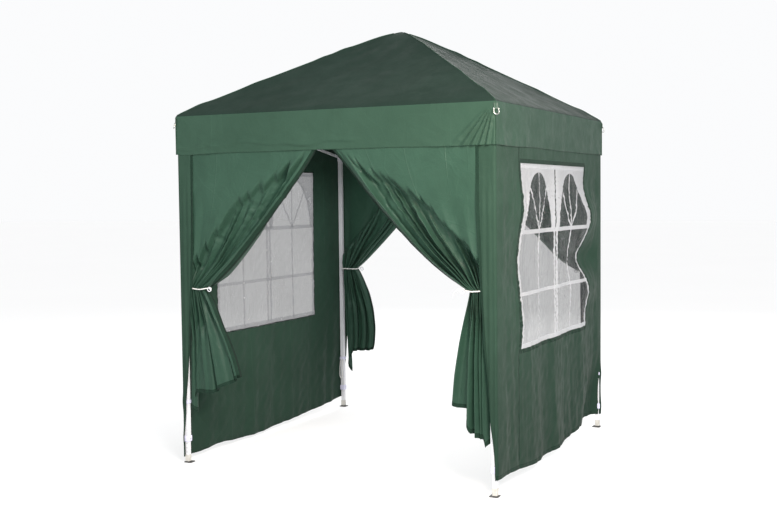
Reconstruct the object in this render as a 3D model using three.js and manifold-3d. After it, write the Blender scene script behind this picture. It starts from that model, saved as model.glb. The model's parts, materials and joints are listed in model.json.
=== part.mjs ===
// A 2 m by 2 m pop-up tent: a folding scissor frame on four telescopic legs, under a canopy with
// two window walls (left and right) and two doors with tied-back curtains (front and back).
// Millimetres, +Z up. The origin is on the ground, midway between the four feet, and the front
// is -Y.

import * as THREE from 'three';
import { mergeVertices } from 'three/addons/utils/BufferGeometryUtils.js';
import Module from 'manifold-3d';

const wasm = await Module();
wasm.setup();

// ---- Driving dimensions -------------------------------------------------------------------

const CANOPY_HALF = 1000; // the canopy's outer face, from the middle
const CLOTH = 1.5; // thickness that stands for each fabric sheet
const CLOTH_GAP = 0.3; // air between one sheet and the next
const EAVE_Z = 2062;
const VALANCE_Z = 1839; // lower edge of the band round the canopy
const ROOF_RISE = 555; // eave to where the roof's slopes would meet
const ROOF_CROWN = 9; // how far the slopes bow up, halfway along
const PEAK_DROP = 15; // lost where the peak is rounded
const PEAK_HALF = 150; // half width of the rounded peak
const WALL_TOP_Z = 2036;
const HEM_Z = 32; // lower edge of the walls
const STRIP_IN = 884; // inner edge of the strips where a side wall wraps a leg
const DOOR_HALF = 958; // the doors' header and curtains stop at the legs
const HEADER_Z = 1836; // lower edge of the strip that the curtains hang from

const LEG = 978; // leg centre, from the middle, along X and along Y
const OUTER_TUBE = 28; // square tubes: side, then wall
const INNER_TUBE = 24;
const OUTER_WALL = 1;
const INNER_WALL = 0.9;
const OUTER_FOOT_Z = 150; // lower end of an upper leg
const INNER_TOP_Z = 720; // upper end of a lower leg
const BUTTON_PITCH = 25; // height holes in a lower leg
const BUTTON_HOLES = 3;

const PIN_Z = 2020; // upper pivots of the scissor bars
const TRUSS_DEPTH = 150; // upper pivots to lower pivots
const LEG_PIN = 34; // leg centre to its pivots, and edge joint to the pivot of its inner arm
const JOINT_PIN = 24; // centre of an edge joint or the hub to its pivots
const BAR = { width: 18, thickness: 9, wall: 0.8, chamfer: 1.6, end: 9 };
const LAYER = 6; // crossing bars run this far to each side of the truss's middle plane
const PIN_R = 2.5;
const HOLE_R = 3.2;
const RIVET_HEAD = { radius: 5, thickness: 2, gap: 0.5 };

const EAR = { thickness: 2.5, slot: 10, bite: 1 }; // bite: how far an ear runs into its joint
const JOINT_HALF = 14; // edge joints and hub: half their width
const SLEEVE_HALF = 17; // leg brackets and sliders: half their width
const SLIDE_GAP = 0.4; // between a slider and its leg

const MAST_R = 12.5;
const MAST_WALL = 1.4;
const SPIGOT = { radius: 10.6, low: 12, high: 62 }; // heights above the hub's pivots
const CAP_R = 40;
const CAP_TOP_Z = 2595;

const FOOT = { half: 25, thickness: 5, socket: 14, height: 46, inward: 5, pegHole: 4 };

const ROUND = 6; // sides of a small pin or hole
const END_SEGMENTS = 3; // sides of a round end

const LOW_PIN_Z = PIN_Z - TRUSS_DEPTH;
const CELL = LEG - LEG_PIN - JOINT_PIN; // level distance between a bar's two pivots
const BAR_LENGTH = Math.hypot(CELL, TRUSS_DEPTH);
const BAR_TILT = Math.atan2(TRUSS_DEPTH, CELL);
const VALANCE_IN = CANOPY_HALF - CLOTH;
const WALL_OUT = VALANCE_IN - CLOTH_GAP;
const WALL_IN = WALL_OUT - CLOTH;
const DOOR_OUT = WALL_IN - CLOTH_GAP;

// ---- Materials ----------------------------------------------------------------------------

const finish = (color, roughness, metalness = 0) => (
  new THREE.MeshStandardMaterial({ color, roughness, metalness })
);
const steel = () => finish(0xe6e8ea, 0.4, 0.2);
const plastic = () => finish(0xd9dae2, 0.5);
const footPlastic = () => finish(0x4a4d50, 0.6);
const roofCloth = () => finish(0x2f5a49, 0.7);
const wallCloth = () => finish(0x35604f, 0.6);

// ---- Booleans -----------------------------------------------------------------------------

// A closed geometry as a manifold solid.
function solid(geometry) {
  const bare = geometry.index ? geometry.toNonIndexed() : geometry.clone();
  for (const name of Object.keys(bare.attributes)) {
    if (name !== 'position') bare.deleteAttribute(name);
  }
  const merged = mergeVertices(bare, 1e-4);
  return new wasm.Manifold(new wasm.Mesh({
    numProp: 3,
    vertProperties: new Float32Array(merged.attributes.position.array),
    triVerts: new Uint32Array(merged.index.array),
  }));
}

// A manifold solid as a geometry.
function geometryOf(body) {
  const mesh = body.getMesh();
  const geometry = new THREE.BufferGeometry();
  geometry.setAttribute('position', new THREE.BufferAttribute(new Float32Array(mesh.vertProperties), 3));
  geometry.setIndex(new THREE.BufferAttribute(new Uint32Array(mesh.triVerts), 1));
  geometry.computeVertexNormals();
  return geometry;
}

function united(pieces) {
  return pieces.map(solid).reduce((whole, piece) => whole.add(piece));
}

function without(body, cutters) {
  return cutters.map(solid).reduce((left, cutter) => left.subtract(cutter), body);
}

// ---- Basic shapes -------------------------------------------------------------------------

// A box between two corners.
function boxBetween(low, high) {
  const size = high.map((value, axis) => value - low[axis]);
  const middle = high.map((value, axis) => (value + low[axis]) / 2);
  return new THREE.BoxGeometry(...size).translate(...middle);
}

// A round pin or hole along Y, with its middle at (x, y, z).
function pinAlongY(radius, length, x, y, z) {
  return new THREE.CylinderGeometry(radius, radius, length, ROUND).translate(x, y, z);
}

// The outline of a rectangle with its corners cut off.
function chamferedRectangle(width, height, cut) {
  const [w, h] = [width / 2, height / 2];
  return new THREE.Shape([
    [w - cut, -h], [w, cut - h], [w, h - cut], [w - cut, h],
    [cut - w, h], [-w, h - cut], [-w, cut - h], [cut - w, -h],
  ].map(([x, y]) => new THREE.Vector2(x, y)));
}

// A plain rectangle, as the bore of a tube.
function rectangle(width, height) {
  const [w, h] = [width / 2, height / 2];
  return new THREE.Path([[-w, -h], [w, -h], [w, h], [-w, h]].map(([x, y]) => new THREE.Vector2(x, y)));
}

// A square tube standing on the XY plane.
function squareTube(side, wall, length) {
  const outline = chamferedRectangle(side, side, 1.5 * wall);
  outline.holes.push(rectangle(side - 2 * wall, side - 2 * wall));
  return new THREE.ExtrudeGeometry(outline, { depth: length, bevelEnabled: false });
}

// ---- Scissor bars -------------------------------------------------------------------------

// A bar's outline seen from the side, with round ends about its two pivots.
function barOutline() {
  const r = BAR.width / 2;
  const outline = new THREE.Shape();
  outline.moveTo(0, -r);
  outline.lineTo(BAR_LENGTH, -r);
  outline.absarc(BAR_LENGTH, 0, r, -Math.PI / 2, Math.PI / 2, false);
  outline.lineTo(0, r);
  outline.absarc(0, 0, r, Math.PI / 2, 3 * Math.PI / 2, false);
  return outline;
}

// A flat steel tube from pivot (0, 0, 0) to pivot (BAR_LENGTH, 0, 0), with its width along Z.
function flatTube() {
  const outline = chamferedRectangle(BAR.width, BAR.thickness, BAR.chamfer);
  outline.holes.push(rectangle(BAR.width - 2 * BAR.wall, BAR.thickness - 2 * BAR.wall));
  const depth = BAR_LENGTH + 2 * BAR.end;
  const tube = new THREE.ExtrudeGeometry(outline, { depth, bevelEnabled: false });
  // The outline's X becomes Z, its Y stays Y, and the extrusion runs along X.
  tube.rotateY(Math.PI / 2).translate(-BAR.end, 0, 0);
  const side = new THREE.ExtrudeGeometry(
    barOutline(),
    { depth: 2 * BAR.thickness, bevelEnabled: false, curveSegments: END_SEGMENTS },
  ).rotateX(Math.PI / 2).translate(0, BAR.thickness, 0);
  return solid(tube).intersect(solid(side));
}

function pinHoles(places) {
  return places.map((x) => pinAlongY(HOLE_R, 2 * BAR.thickness, x, 0, 0));
}

// A bar with the rivet at its middle, which reaches through the other bar to a head beyond it.
function rivetBar() {
  const headFace = 2 * LAYER + BAR.thickness / 2 + RIVET_HEAD.gap;
  const headEnd = headFace + RIVET_HEAD.thickness;
  const shank = rivetPart(PIN_R, -BAR.thickness / 2, headEnd);
  const head = rivetPart(RIVET_HEAD.radius, headFace, headEnd);
  const bar = without(flatTube(), pinHoles([0, BAR_LENGTH]));
  return geometryOf(bar.add(solid(shank)).add(solid(head)));
}

// A round part of the rivet, from one distance to another along -Y.
function rivetPart(radius, from, to) {
  return pinAlongY(radius, to - from, BAR_LENGTH / 2, -(from + to) / 2, 0);
}

function plainBar() {
  return geometryOf(without(flatTube(), pinHoles([0, BAR_LENGTH / 2, BAR_LENGTH])));
}

const RIVET_BAR = rivetBar();
const PLAIN_BAR = plainBar();

// A bar that starts at a pivot, heads off at an angle round Z and rises (1) or falls (-1).
function placedBar(name, geometry, pivot, heading, slope, layer) {
  const mesh = new THREE.Mesh(geometry, steel());
  mesh.name = name;
  mesh.rotation.set(0, -slope * BAR_TILT, heading, 'ZYX');
  mesh.position.copy(pivot).addScaledVector(across(heading), layer);
  return mesh;
}

// ---- Pivot joints -------------------------------------------------------------------------

const along = (heading) => new THREE.Vector3(Math.cos(heading), Math.sin(heading), 0);
const across = (heading) => new THREE.Vector3(-Math.sin(heading), Math.cos(heading), 0);

// One ear: a plate with a round end, from the joint's face out past its pivot.
function ear(face, pin, from, to) {
  const reach = BAR.end;
  const outline = new THREE.Shape();
  outline.moveTo(face, -reach);
  outline.lineTo(pin, -reach);
  outline.absarc(pin, 0, reach, -Math.PI / 2, Math.PI / 2, false);
  outline.lineTo(face, reach);
  outline.closePath();
  const plate = new THREE.ExtrudeGeometry(
    outline,
    { depth: to - from, bevelEnabled: false, curveSegments: END_SEGMENTS },
  );
  // The outline's Y becomes Z, and the extrusion runs along -Y from `to`.
  return plate.rotateX(Math.PI / 2).translate(0, to, 0);
}

// A pair of ears with their pin, at an angle round Z, holding a bar that runs on one layer.
function port(heading, face, pin, layer) {
  const slotLow = layer - EAR.slot / 2;
  const slotHigh = layer + EAR.slot / 2;
  const pieces = [
    ear(face - EAR.bite, pin, slotLow - EAR.thickness, slotLow),
    ear(face - EAR.bite, pin, slotHigh, slotHigh + EAR.thickness),
    pinAlongY(PIN_R, EAR.slot + 2 * EAR.thickness - 0.2, pin, layer, 0),
  ];
  return pieces.map((piece) => piece.rotateZ(heading));
}

function jointCore(half, low, high) {
  const core = new THREE.ExtrudeGeometry(
    chamferedRectangle(2 * half, 2 * half, 3),
    { depth: high - low, bevelEnabled: false },
  );
  return core.translate(0, 0, low);
}

const QUARTERS = [0, 1, 2, 3].map((turn) => turn * Math.PI / 2);

// The hub's upper joint, with the spigot that the mast stands on.
function hubUpper() {
  const spigot = new THREE.CylinderGeometry(SPIGOT.radius, SPIGOT.radius, SPIGOT.high - SPIGOT.low, 16)
    .rotateX(Math.PI / 2)
    .translate(0, 0, (SPIGOT.high + SPIGOT.low) / 2);
  const ports = QUARTERS.flatMap((heading) => port(heading, JOINT_HALF, JOINT_PIN, LAYER));
  return geometryOf(united([jointCore(JOINT_HALF, -13, 18), spigot, ...ports]));
}

function hubLower() {
  const ports = QUARTERS.flatMap((heading) => port(heading, JOINT_HALF, JOINT_PIN, -LAYER));
  return geometryOf(united([jointCore(JOINT_HALF, -18, 13), ...ports]));
}

// The joint in the middle of an edge: two bars of the edge, and one of the arm to the hub.
// It is made for the edge at -Y, whose arm heads off along +Y.
function edgeJoint(edgeLayer) {
  const ports = [
    ...port(0, JOINT_HALF, JOINT_PIN, edgeLayer),
    ...port(Math.PI, JOINT_HALF, JOINT_PIN, edgeLayer),
    ...port(Math.PI / 2, JOINT_HALF, LEG_PIN, -edgeLayer),
  ];
  return geometryOf(united([jointCore(JOINT_HALF, -13, 13), ...ports]));
}

// The two ports of a leg's bracket or slider, for the leg at (-X, -Y).
function legPorts(layer) {
  return [
    ...port(0, SLEEVE_HALF, LEG_PIN, layer),
    ...port(Math.PI / 2, SLEEVE_HALF, LEG_PIN, layer),
  ];
}

// The cap on top of a leg, hollow over the tube's end.
function topBracket() {
  const capHigh = 33;
  const capLow = -28;
  const tubeTop = 22;
  const hollow = OUTER_TUBE / 2 + SLIDE_GAP;
  const body = united([jointCore(SLEEVE_HALF, capLow, capHigh), ...legPorts(-LAYER)]);
  const bore = boxBetween([-hollow, -hollow, capLow - 1], [hollow, hollow, tubeTop]);
  return geometryOf(without(body, [bore]));
}

// The sleeve that runs up and down a leg.
function slider() {
  const hollow = OUTER_TUBE / 2 + SLIDE_GAP;
  const [low, high] = [-30, 26];
  const body = united([jointCore(SLEEVE_HALF, low, high), ...legPorts(LAYER)]);
  const bore = boxBetween([-hollow, -hollow, low - 1], [hollow, hollow, high + 1]);
  return geometryOf(without(body, [bore]));
}

// ---- Legs ---------------------------------------------------------------------------------

function outerLeg() {
  return squareTube(OUTER_TUBE, OUTER_WALL, PIN_Z + 21.6 - OUTER_FOOT_Z).translate(0, 0, OUTER_FOOT_Z);
}

// The lower leg, with its height holes showing below the upper leg.
function innerLeg() {
  const low = FOOT.thickness + 0.3;
  const tube = squareTube(INNER_TUBE, INNER_WALL, INNER_TOP_Z - low).translate(0, 0, low);
  const holes = [];
  for (let i = 1; i <= BUTTON_HOLES; i += 1) {
    holes.push(pinAlongY(HOLE_R, INNER_TUBE, 0, -INNER_TUBE / 2, OUTER_FOOT_Z - 12 - i * BUTTON_PITCH));
  }
  return geometryOf(without(solid(tube), holes));
}

// The foot: a plate with a socket round the leg, set a little inward, and a hole for a peg.
// It is made for the leg at (-X, -Y).
function foot() {
  const pegAt = FOOT.inward + FOOT.half - 7;
  const plate = new THREE.ExtrudeGeometry(
    chamferedRectangle(2 * FOOT.half, 2 * FOOT.half, 4),
    { depth: FOOT.thickness, bevelEnabled: false },
  ).translate(FOOT.inward, FOOT.inward, 0);
  const socket = new THREE.ExtrudeGeometry(
    chamferedRectangle(2 * FOOT.socket, 2 * FOOT.socket, 2.5),
    { depth: FOOT.height, bevelEnabled: false },
  );
  const hollow = INNER_TUBE / 2 + 0.3;
  const bore = boxBetween([-hollow, -hollow, FOOT.thickness], [hollow, hollow, FOOT.height + 1]);
  const peg = new THREE.CylinderGeometry(FOOT.pegHole, FOOT.pegHole, 4 * FOOT.thickness, ROUND)
    .rotateX(Math.PI / 2)
    .translate(pegAt, pegAt, 0);
  return geometryOf(without(united([plate, socket]), [bore, peg]));
}

// ---- Mast ---------------------------------------------------------------------------------

// The mast stands on the hub and holds up the peak with a rounded cap.
function mast() {
  const foot = PIN_Z + 18.3;
  const capLow = CAP_TOP_Z - 34;
  const bore = MAST_R - MAST_WALL;
  const profile = [
    [bore, foot], [MAST_R, foot], [MAST_R, capLow], [CAP_R - 3, capLow + 3], [CAP_R, capLow + 12],
    [CAP_R - 7, capLow + 22], [CAP_R - 20, capLow + 30], [0, CAP_TOP_Z], [0, capLow], [bore, capLow],
    [bore, foot],
  ].map(([r, z]) => new THREE.Vector2(r, z));
  return new THREE.LatheGeometry(profile, 20).rotateX(Math.PI / 2);
}

// ---- Canopy -------------------------------------------------------------------------------

// Height of the roof's outer face where it is `half` from the middle, along its nearer axis.
function roofZ(half) {
  const t = half / CANOPY_HALF;
  const slope = EAVE_Z + ROOF_RISE * (1 - t) + ROOF_CROWN * 4 * t * (1 - t);
  const near = Math.max(0, 1 - half / PEAK_HALF);
  return slope - PEAK_DROP * near * near;
}

// Roof and valance as one shell, open below. A lathe with four sides makes its square rings.
function canopy() {
  const halves = [0, 50, 100, 150, 300, 500, 750, 1000];
  const drop = CLOTH * 1.15; // the sheet's thickness, measured straight down
  const outer = halves.map((half) => [half, roofZ(half)]);
  const inner = halves.map((half) => [half, roofZ(half) - drop]).reverse();
  inner[0] = [VALANCE_IN, roofZ(VALANCE_IN) - drop];
  const profile = [...outer, [CANOPY_HALF, VALANCE_Z], [VALANCE_IN, VALANCE_Z], ...inner]
    .map(([half, z]) => new THREE.Vector2(half * Math.SQRT2, z))
    .reverse();
  return new THREE.LatheGeometry(profile, 4, Math.PI / 4).rotateX(Math.PI / 2);
}

// ---- Walls --------------------------------------------------------------------------------

// A side wall. It turns the corner at each end and covers the leg, and the strip there tapers
// off towards the ground. It is made for the right side (+X).
function sideWall() {
  const strip = new THREE.Shape([
    [WALL_OUT, HEM_Z], [WALL_OUT, WALL_TOP_Z], [STRIP_IN, WALL_TOP_Z], [STRIP_IN, 1000],
    [925, 600], [963, 385], [990, 140],
  ].map(([x, z]) => new THREE.Vector2(x, z)));
  const strips = [WALL_OUT, -WALL_IN].map((y) => new THREE.ExtrudeGeometry(
    strip,
    { depth: CLOTH, bevelEnabled: false },
  ).rotateX(Math.PI / 2).translate(0, y, 0));
  const sheet = boxBetween([WALL_IN, -WALL_OUT, HEM_Z], [WALL_OUT, WALL_OUT, WALL_TOP_Z]);
  return geometryOf(united([sheet, ...strips]));
}

// ---- Doors --------------------------------------------------------------------------------

// Level slices of a drawn-back curtain, from the header down through the tie to the tail:
// height, inner edge, outer edge, and how far the gathered cloth stands in from the front.
const CURTAIN = [
  { z: 1860, inner: 6, outer: 958, depth: CLOTH },
  { z: 1832, inner: 10, outer: 958, depth: CLOTH },
  { z: 1700, inner: 185, outer: 957, depth: 14 },
  { z: 1450, inner: 455, outer: 956, depth: 34 },
  { z: 1200, inner: 690, outer: 953, depth: 52 },
  { z: 1050, inner: 822, outer: 944, depth: 66 },
  { z: 980, inner: 818, outer: 946, depth: 70 },
  { z: 760, inner: 740, outer: 952, depth: 72 },
  { z: 440, inner: 655, outer: 954, depth: 66 },
];
const CURTAIN_SIDES = 12;

// The skin over a curtain's slices, each drawn in by `inset`. It is made for the right (+X).
function curtainSkin(slices, inset) {
  const positions = [];
  for (const slice of slices) {
    const middle = (slice.inner + slice.outer) / 2;
    const half = (slice.outer - slice.inner) / 2 - inset;
    for (let i = 0; i < CURTAIN_SIDES; i += 1) {
      const turn = 2 * Math.PI * i / CURTAIN_SIDES;
      positions.push(
        middle + half * flattened(Math.cos(turn)),
        -DOOR_OUT + slice.depth / 2 + (slice.depth / 2 - inset) * flattened(Math.sin(turn)),
        slice.z,
      );
    }
  }
  const indices = [];
  for (let row = 0; row + 1 < slices.length; row += 1) {
    for (let i = 0; i < CURTAIN_SIDES; i += 1) {
      const next = (i + 1) % CURTAIN_SIDES;
      const [a, b] = [row * CURTAIN_SIDES + i, row * CURTAIN_SIDES + next];
      const [c, d] = [a + CURTAIN_SIDES, b + CURTAIN_SIDES];
      indices.push(a, c, b, b, c, d);
    }
  }
  const last = (slices.length - 1) * CURTAIN_SIDES;
  for (let i = 1; i + 1 < CURTAIN_SIDES; i += 1) {
    indices.push(0, i, i + 1, last, last + i + 1, last + i);
  }
  const geometry = new THREE.BufferGeometry();
  geometry.setAttribute('position', new THREE.Float32BufferAttribute(positions, 3));
  geometry.setIndex(indices);
  return solid(geometry);
}

// Squares off a sine or cosine, so that an ellipse gets fuller corners.
function flattened(value) {
  return Math.sign(value) * Math.abs(value) ** 0.6;
}

// A gathered curtain: cloth on the outside, open below, with air in its folds.
function curtain() {
  const folds = CURTAIN.filter((slice) => slice.depth > 6 * CLOTH);
  folds[folds.length - 1] = { ...folds[folds.length - 1], z: folds[folds.length - 1].z - 1 };
  return curtainSkin(CURTAIN, 0).subtract(curtainSkin(folds, CLOTH));
}

// A header that hangs from the frame, and its two curtains. It is made for the front (-Y).
function door() {
  const header = boxBetween(
    [-DOOR_HALF, -DOOR_OUT, HEADER_Z],
    [DOOR_HALF, -DOOR_OUT + CLOTH, WALL_TOP_Z],
  );
  const right = curtain();
  const left = right.mirror([1, 0, 0]);
  return geometryOf(solid(header).add(right).add(left));
}

// ---- Assembly -----------------------------------------------------------------------------

const tent = new THREE.Group();

function put(name, geometry, material, x = 0, y = 0, z = 0, heading = 0) {
  const mesh = new THREE.Mesh(geometry, material);
  mesh.name = name;
  mesh.position.set(x, y, z);
  mesh.rotation.z = heading;
  tent.add(mesh);
}

put('hub_upper', hubUpper(), plastic(), 0, 0, PIN_Z);
put('hub_lower', hubLower(), plastic(), 0, 0, LOW_PIN_Z);
put('mast', mast(), steel());
put('canopy', canopy(), roofCloth());

// The legs stand at the corners. Each part is made for the front left one and turned.
const corners = { front_left: 0, front_right: 1, back_right: 2, back_left: 3 };
const legGeometry = { outer_leg: outerLeg(), inner_leg: innerLeg(), foot: foot() };
const bracketGeometry = topBracket();
const sliderGeometry = slider();
for (const [corner, turns] of Object.entries(corners)) {
  const heading = turns * Math.PI / 2;
  const at = along(heading).add(across(heading)).multiplyScalar(-LEG);
  put(`outer_leg_${corner}`, legGeometry.outer_leg, steel(), at.x, at.y, 0, heading);
  put(`inner_leg_${corner}`, legGeometry.inner_leg, steel(), at.x, at.y, 0, heading);
  put(`foot_${corner}`, legGeometry.foot, footPlastic(), at.x, at.y, 0, heading);
  put(`top_bracket_${corner}`, bracketGeometry, plastic(), at.x, at.y, PIN_Z, heading);
  put(`slider_${corner}`, sliderGeometry, plastic(), at.x, at.y, LOW_PIN_Z, heading);
}

// Each edge has an upper and a lower joint at its middle, an arm to the hub and two bars to each
// of its legs. `outward` is the edge's side of the tent, as an angle round Z.
const edges = {
  front: { outward: -Math.PI / 2, plus: 'right', minus: 'left' },
  right: { outward: 0, plus: 'back', minus: 'front' },
  back: { outward: Math.PI / 2, plus: 'left', minus: 'right' },
  left: { outward: Math.PI, plus: 'front', minus: 'back' },
};
const upperJoint = edgeJoint(-LAYER);
const lowerJoint = edgeJoint(LAYER);

function pivotAt(centre, heading, distance, z) {
  return centre.clone().addScaledVector(along(heading), distance).setZ(z);
}

for (const [edge, { outward, plus, minus }] of Object.entries(edges)) {
  const turned = outward + Math.PI / 2;
  const middle = along(outward).multiplyScalar(LEG);
  put(`upper_joint_${edge}`, upperJoint, plastic(), middle.x, middle.y, PIN_Z, turned);
  put(`lower_joint_${edge}`, lowerJoint, plastic(), middle.x, middle.y, LOW_PIN_Z, turned);

  const hub = new THREE.Vector3();
  const hubHigh = pivotAt(hub, outward, JOINT_PIN, PIN_Z);
  const hubLow = pivotAt(hub, outward, JOINT_PIN, LOW_PIN_Z);
  tent.add(placedBar(`arm_bar_from_hub_top_${edge}`, RIVET_BAR, hubHigh, outward, -1, LAYER));
  tent.add(placedBar(`arm_bar_from_hub_base_${edge}`, PLAIN_BAR, hubLow, outward, 1, -LAYER));

  for (const [end, heading] of [[plus, outward + Math.PI / 2], [minus, outward - Math.PI / 2]]) {
    const low = pivotAt(middle, heading, JOINT_PIN, LOW_PIN_Z);
    const high = pivotAt(middle, heading, JOINT_PIN, PIN_Z);
    tent.add(placedBar(`edge_bar_to_bracket_${edge}_${end}`, RIVET_BAR, low, heading, 1, LAYER));
    tent.add(placedBar(`edge_bar_to_slider_${edge}_${end}`, PLAIN_BAR, high, heading, -1, -LAYER));
  }
}

const sideWallGeometry = sideWall();
put('wall_right', sideWallGeometry, wallCloth());
put('wall_left', sideWallGeometry, wallCloth(), 0, 0, 0, Math.PI);
const doorGeometry = door();
put('door_front', doorGeometry, wallCloth());
put('door_back', doorGeometry, wallCloth(), 0, 0, 0, Math.PI);

export default tent;
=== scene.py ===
import json
import math

import bmesh
import bpy
import numpy as np
from mathutils import Matrix, Vector

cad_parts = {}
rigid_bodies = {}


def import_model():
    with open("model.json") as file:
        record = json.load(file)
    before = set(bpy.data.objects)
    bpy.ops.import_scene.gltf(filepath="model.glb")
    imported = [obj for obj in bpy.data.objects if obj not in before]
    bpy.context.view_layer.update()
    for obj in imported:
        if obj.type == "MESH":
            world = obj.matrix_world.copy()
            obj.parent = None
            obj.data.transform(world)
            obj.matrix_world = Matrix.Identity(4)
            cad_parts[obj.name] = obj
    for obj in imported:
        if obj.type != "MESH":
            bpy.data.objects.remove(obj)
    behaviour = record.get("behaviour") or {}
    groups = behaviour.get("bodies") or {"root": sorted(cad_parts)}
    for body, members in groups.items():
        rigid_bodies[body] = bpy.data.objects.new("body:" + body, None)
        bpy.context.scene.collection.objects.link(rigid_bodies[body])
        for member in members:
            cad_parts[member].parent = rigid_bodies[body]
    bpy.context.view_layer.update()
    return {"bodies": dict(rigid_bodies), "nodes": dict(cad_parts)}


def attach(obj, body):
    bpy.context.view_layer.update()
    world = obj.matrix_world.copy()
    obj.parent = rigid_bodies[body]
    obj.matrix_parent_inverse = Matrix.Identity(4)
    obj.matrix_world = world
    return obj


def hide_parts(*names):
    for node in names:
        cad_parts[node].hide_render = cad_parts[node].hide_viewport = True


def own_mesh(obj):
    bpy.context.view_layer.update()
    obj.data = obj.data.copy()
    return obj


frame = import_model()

# The pop up tent's cloth, windows, fittings, materials, camera and light, round the CAD frame.
# The front is towards -y. A fixed number seeds each irregularity, so every run is the same.

# ---------------------------------------------------------------- sizes, in metres
HALF = 1.0                # half the canopy's side
EAVE_Z = 2.062
VALANCE_Z = 1.839         # lower edge of the valance
ROOF_RISE = 0.555         # from the eave to where the slopes would meet
ROOF_CROWN = 0.009        # how far the slopes bow out
PEAK_DROP = 0.015         # how much the mast's cap rounds the peak off
PEAK_HALF = 0.15          # half the side of the rounded part
LEG = 0.978               # from the middle of the tent to a leg's centre
SHEET = 0.9975            # middle of a wall's cloth
CURTAIN_FACE = 0.9962     # outer face of the curtains
CLOTH = 0.0012            # cloth thickness
THREAD = 0.0011           # pitch of the weave
YARN = 0.0016             # pitch of the yarns in webbing and braid
LIFT = 0.0011             # a flat seam lies this far off the cloth's middle,
HEM_LIFT = 0.0012         # and a turned hem this far
TRAVEL = 0.8511           # how far a leg moves in as the frame folds
MAST_CLEAR = 0.046        # the folded canopy stays this far from the mast's axis
WALL_ROOM = 0.0022        # folded walls stand this far out from their sheet, clear of the fittings
DOOR_ROOM = 0.004         # folded curtains keep this much depth behind their face
GOLDEN = 2.399963         # radians, for spreading phases

CORNERS = {
    "front_left": (-1, -1),
    "front_right": (1, -1),
    "back_right": (1, 1),
    "back_left": (-1, 1),
}
WINDOW = {"y": (-0.62, 0.60), "z": (0.73, 1.75)}


# ---------------------------------------------------------------- small maths
def smooth(x, a, b):
    """0 before a, 1 after b, and a smooth step between them."""
    t = np.clip((np.asarray(x, float) - a) / (b - a), 0, 1)
    return t * t * (3 - 2 * t)


def bell(x, middle, width):
    """1 at middle, falling to about a third at width from it."""
    return np.exp(-(((np.asarray(x, float) - middle) / width) ** 2))


def lerp(a, b, t):
    return a + (b - a) * t


def pair(a, b):
    """Two arrays of the same or matching shapes, as one array of pairs."""
    return np.stack(np.broadcast_arrays(a, b), -1)


def run_along(points):
    """Distance from the first point to each point of a path."""
    return np.concatenate([[0], np.cumsum(np.linalg.norm(np.diff(points, axis=0), axis=1))])


def ring_quads(n):
    """Faces between the rows of the index table n, with each row closed on itself."""
    turn = np.roll(n, -1, axis=1)
    return np.stack([n[:-1], turn[:-1], turn[1:], n[1:]], -1).reshape(-1, 4)


def ripple(seed, x, y, shortest, longest, count=9):
    """Smooth wandering field of about -1 to 1, the same at every run."""
    draw = np.random.RandomState(seed)
    total = np.zeros(np.broadcast(x, y).shape)
    for _ in range(count):
        length = math.exp(draw.uniform(math.log(shortest), math.log(longest)))
        turn = draw.uniform(0, math.pi)
        phase = draw.uniform(0, 2 * math.pi)
        along = x * math.cos(turn) + y * math.sin(turn)
        total += np.sin(2 * math.pi * along / length + phase)
    return total / math.sqrt(count * 2)


def pleat(phase):
    """A wave of period 1 from 0 to 1, sharper than a sine."""
    return 0.5 - np.arcsin(0.96 * np.cos(2 * math.pi * phase)) / 2.57


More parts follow.
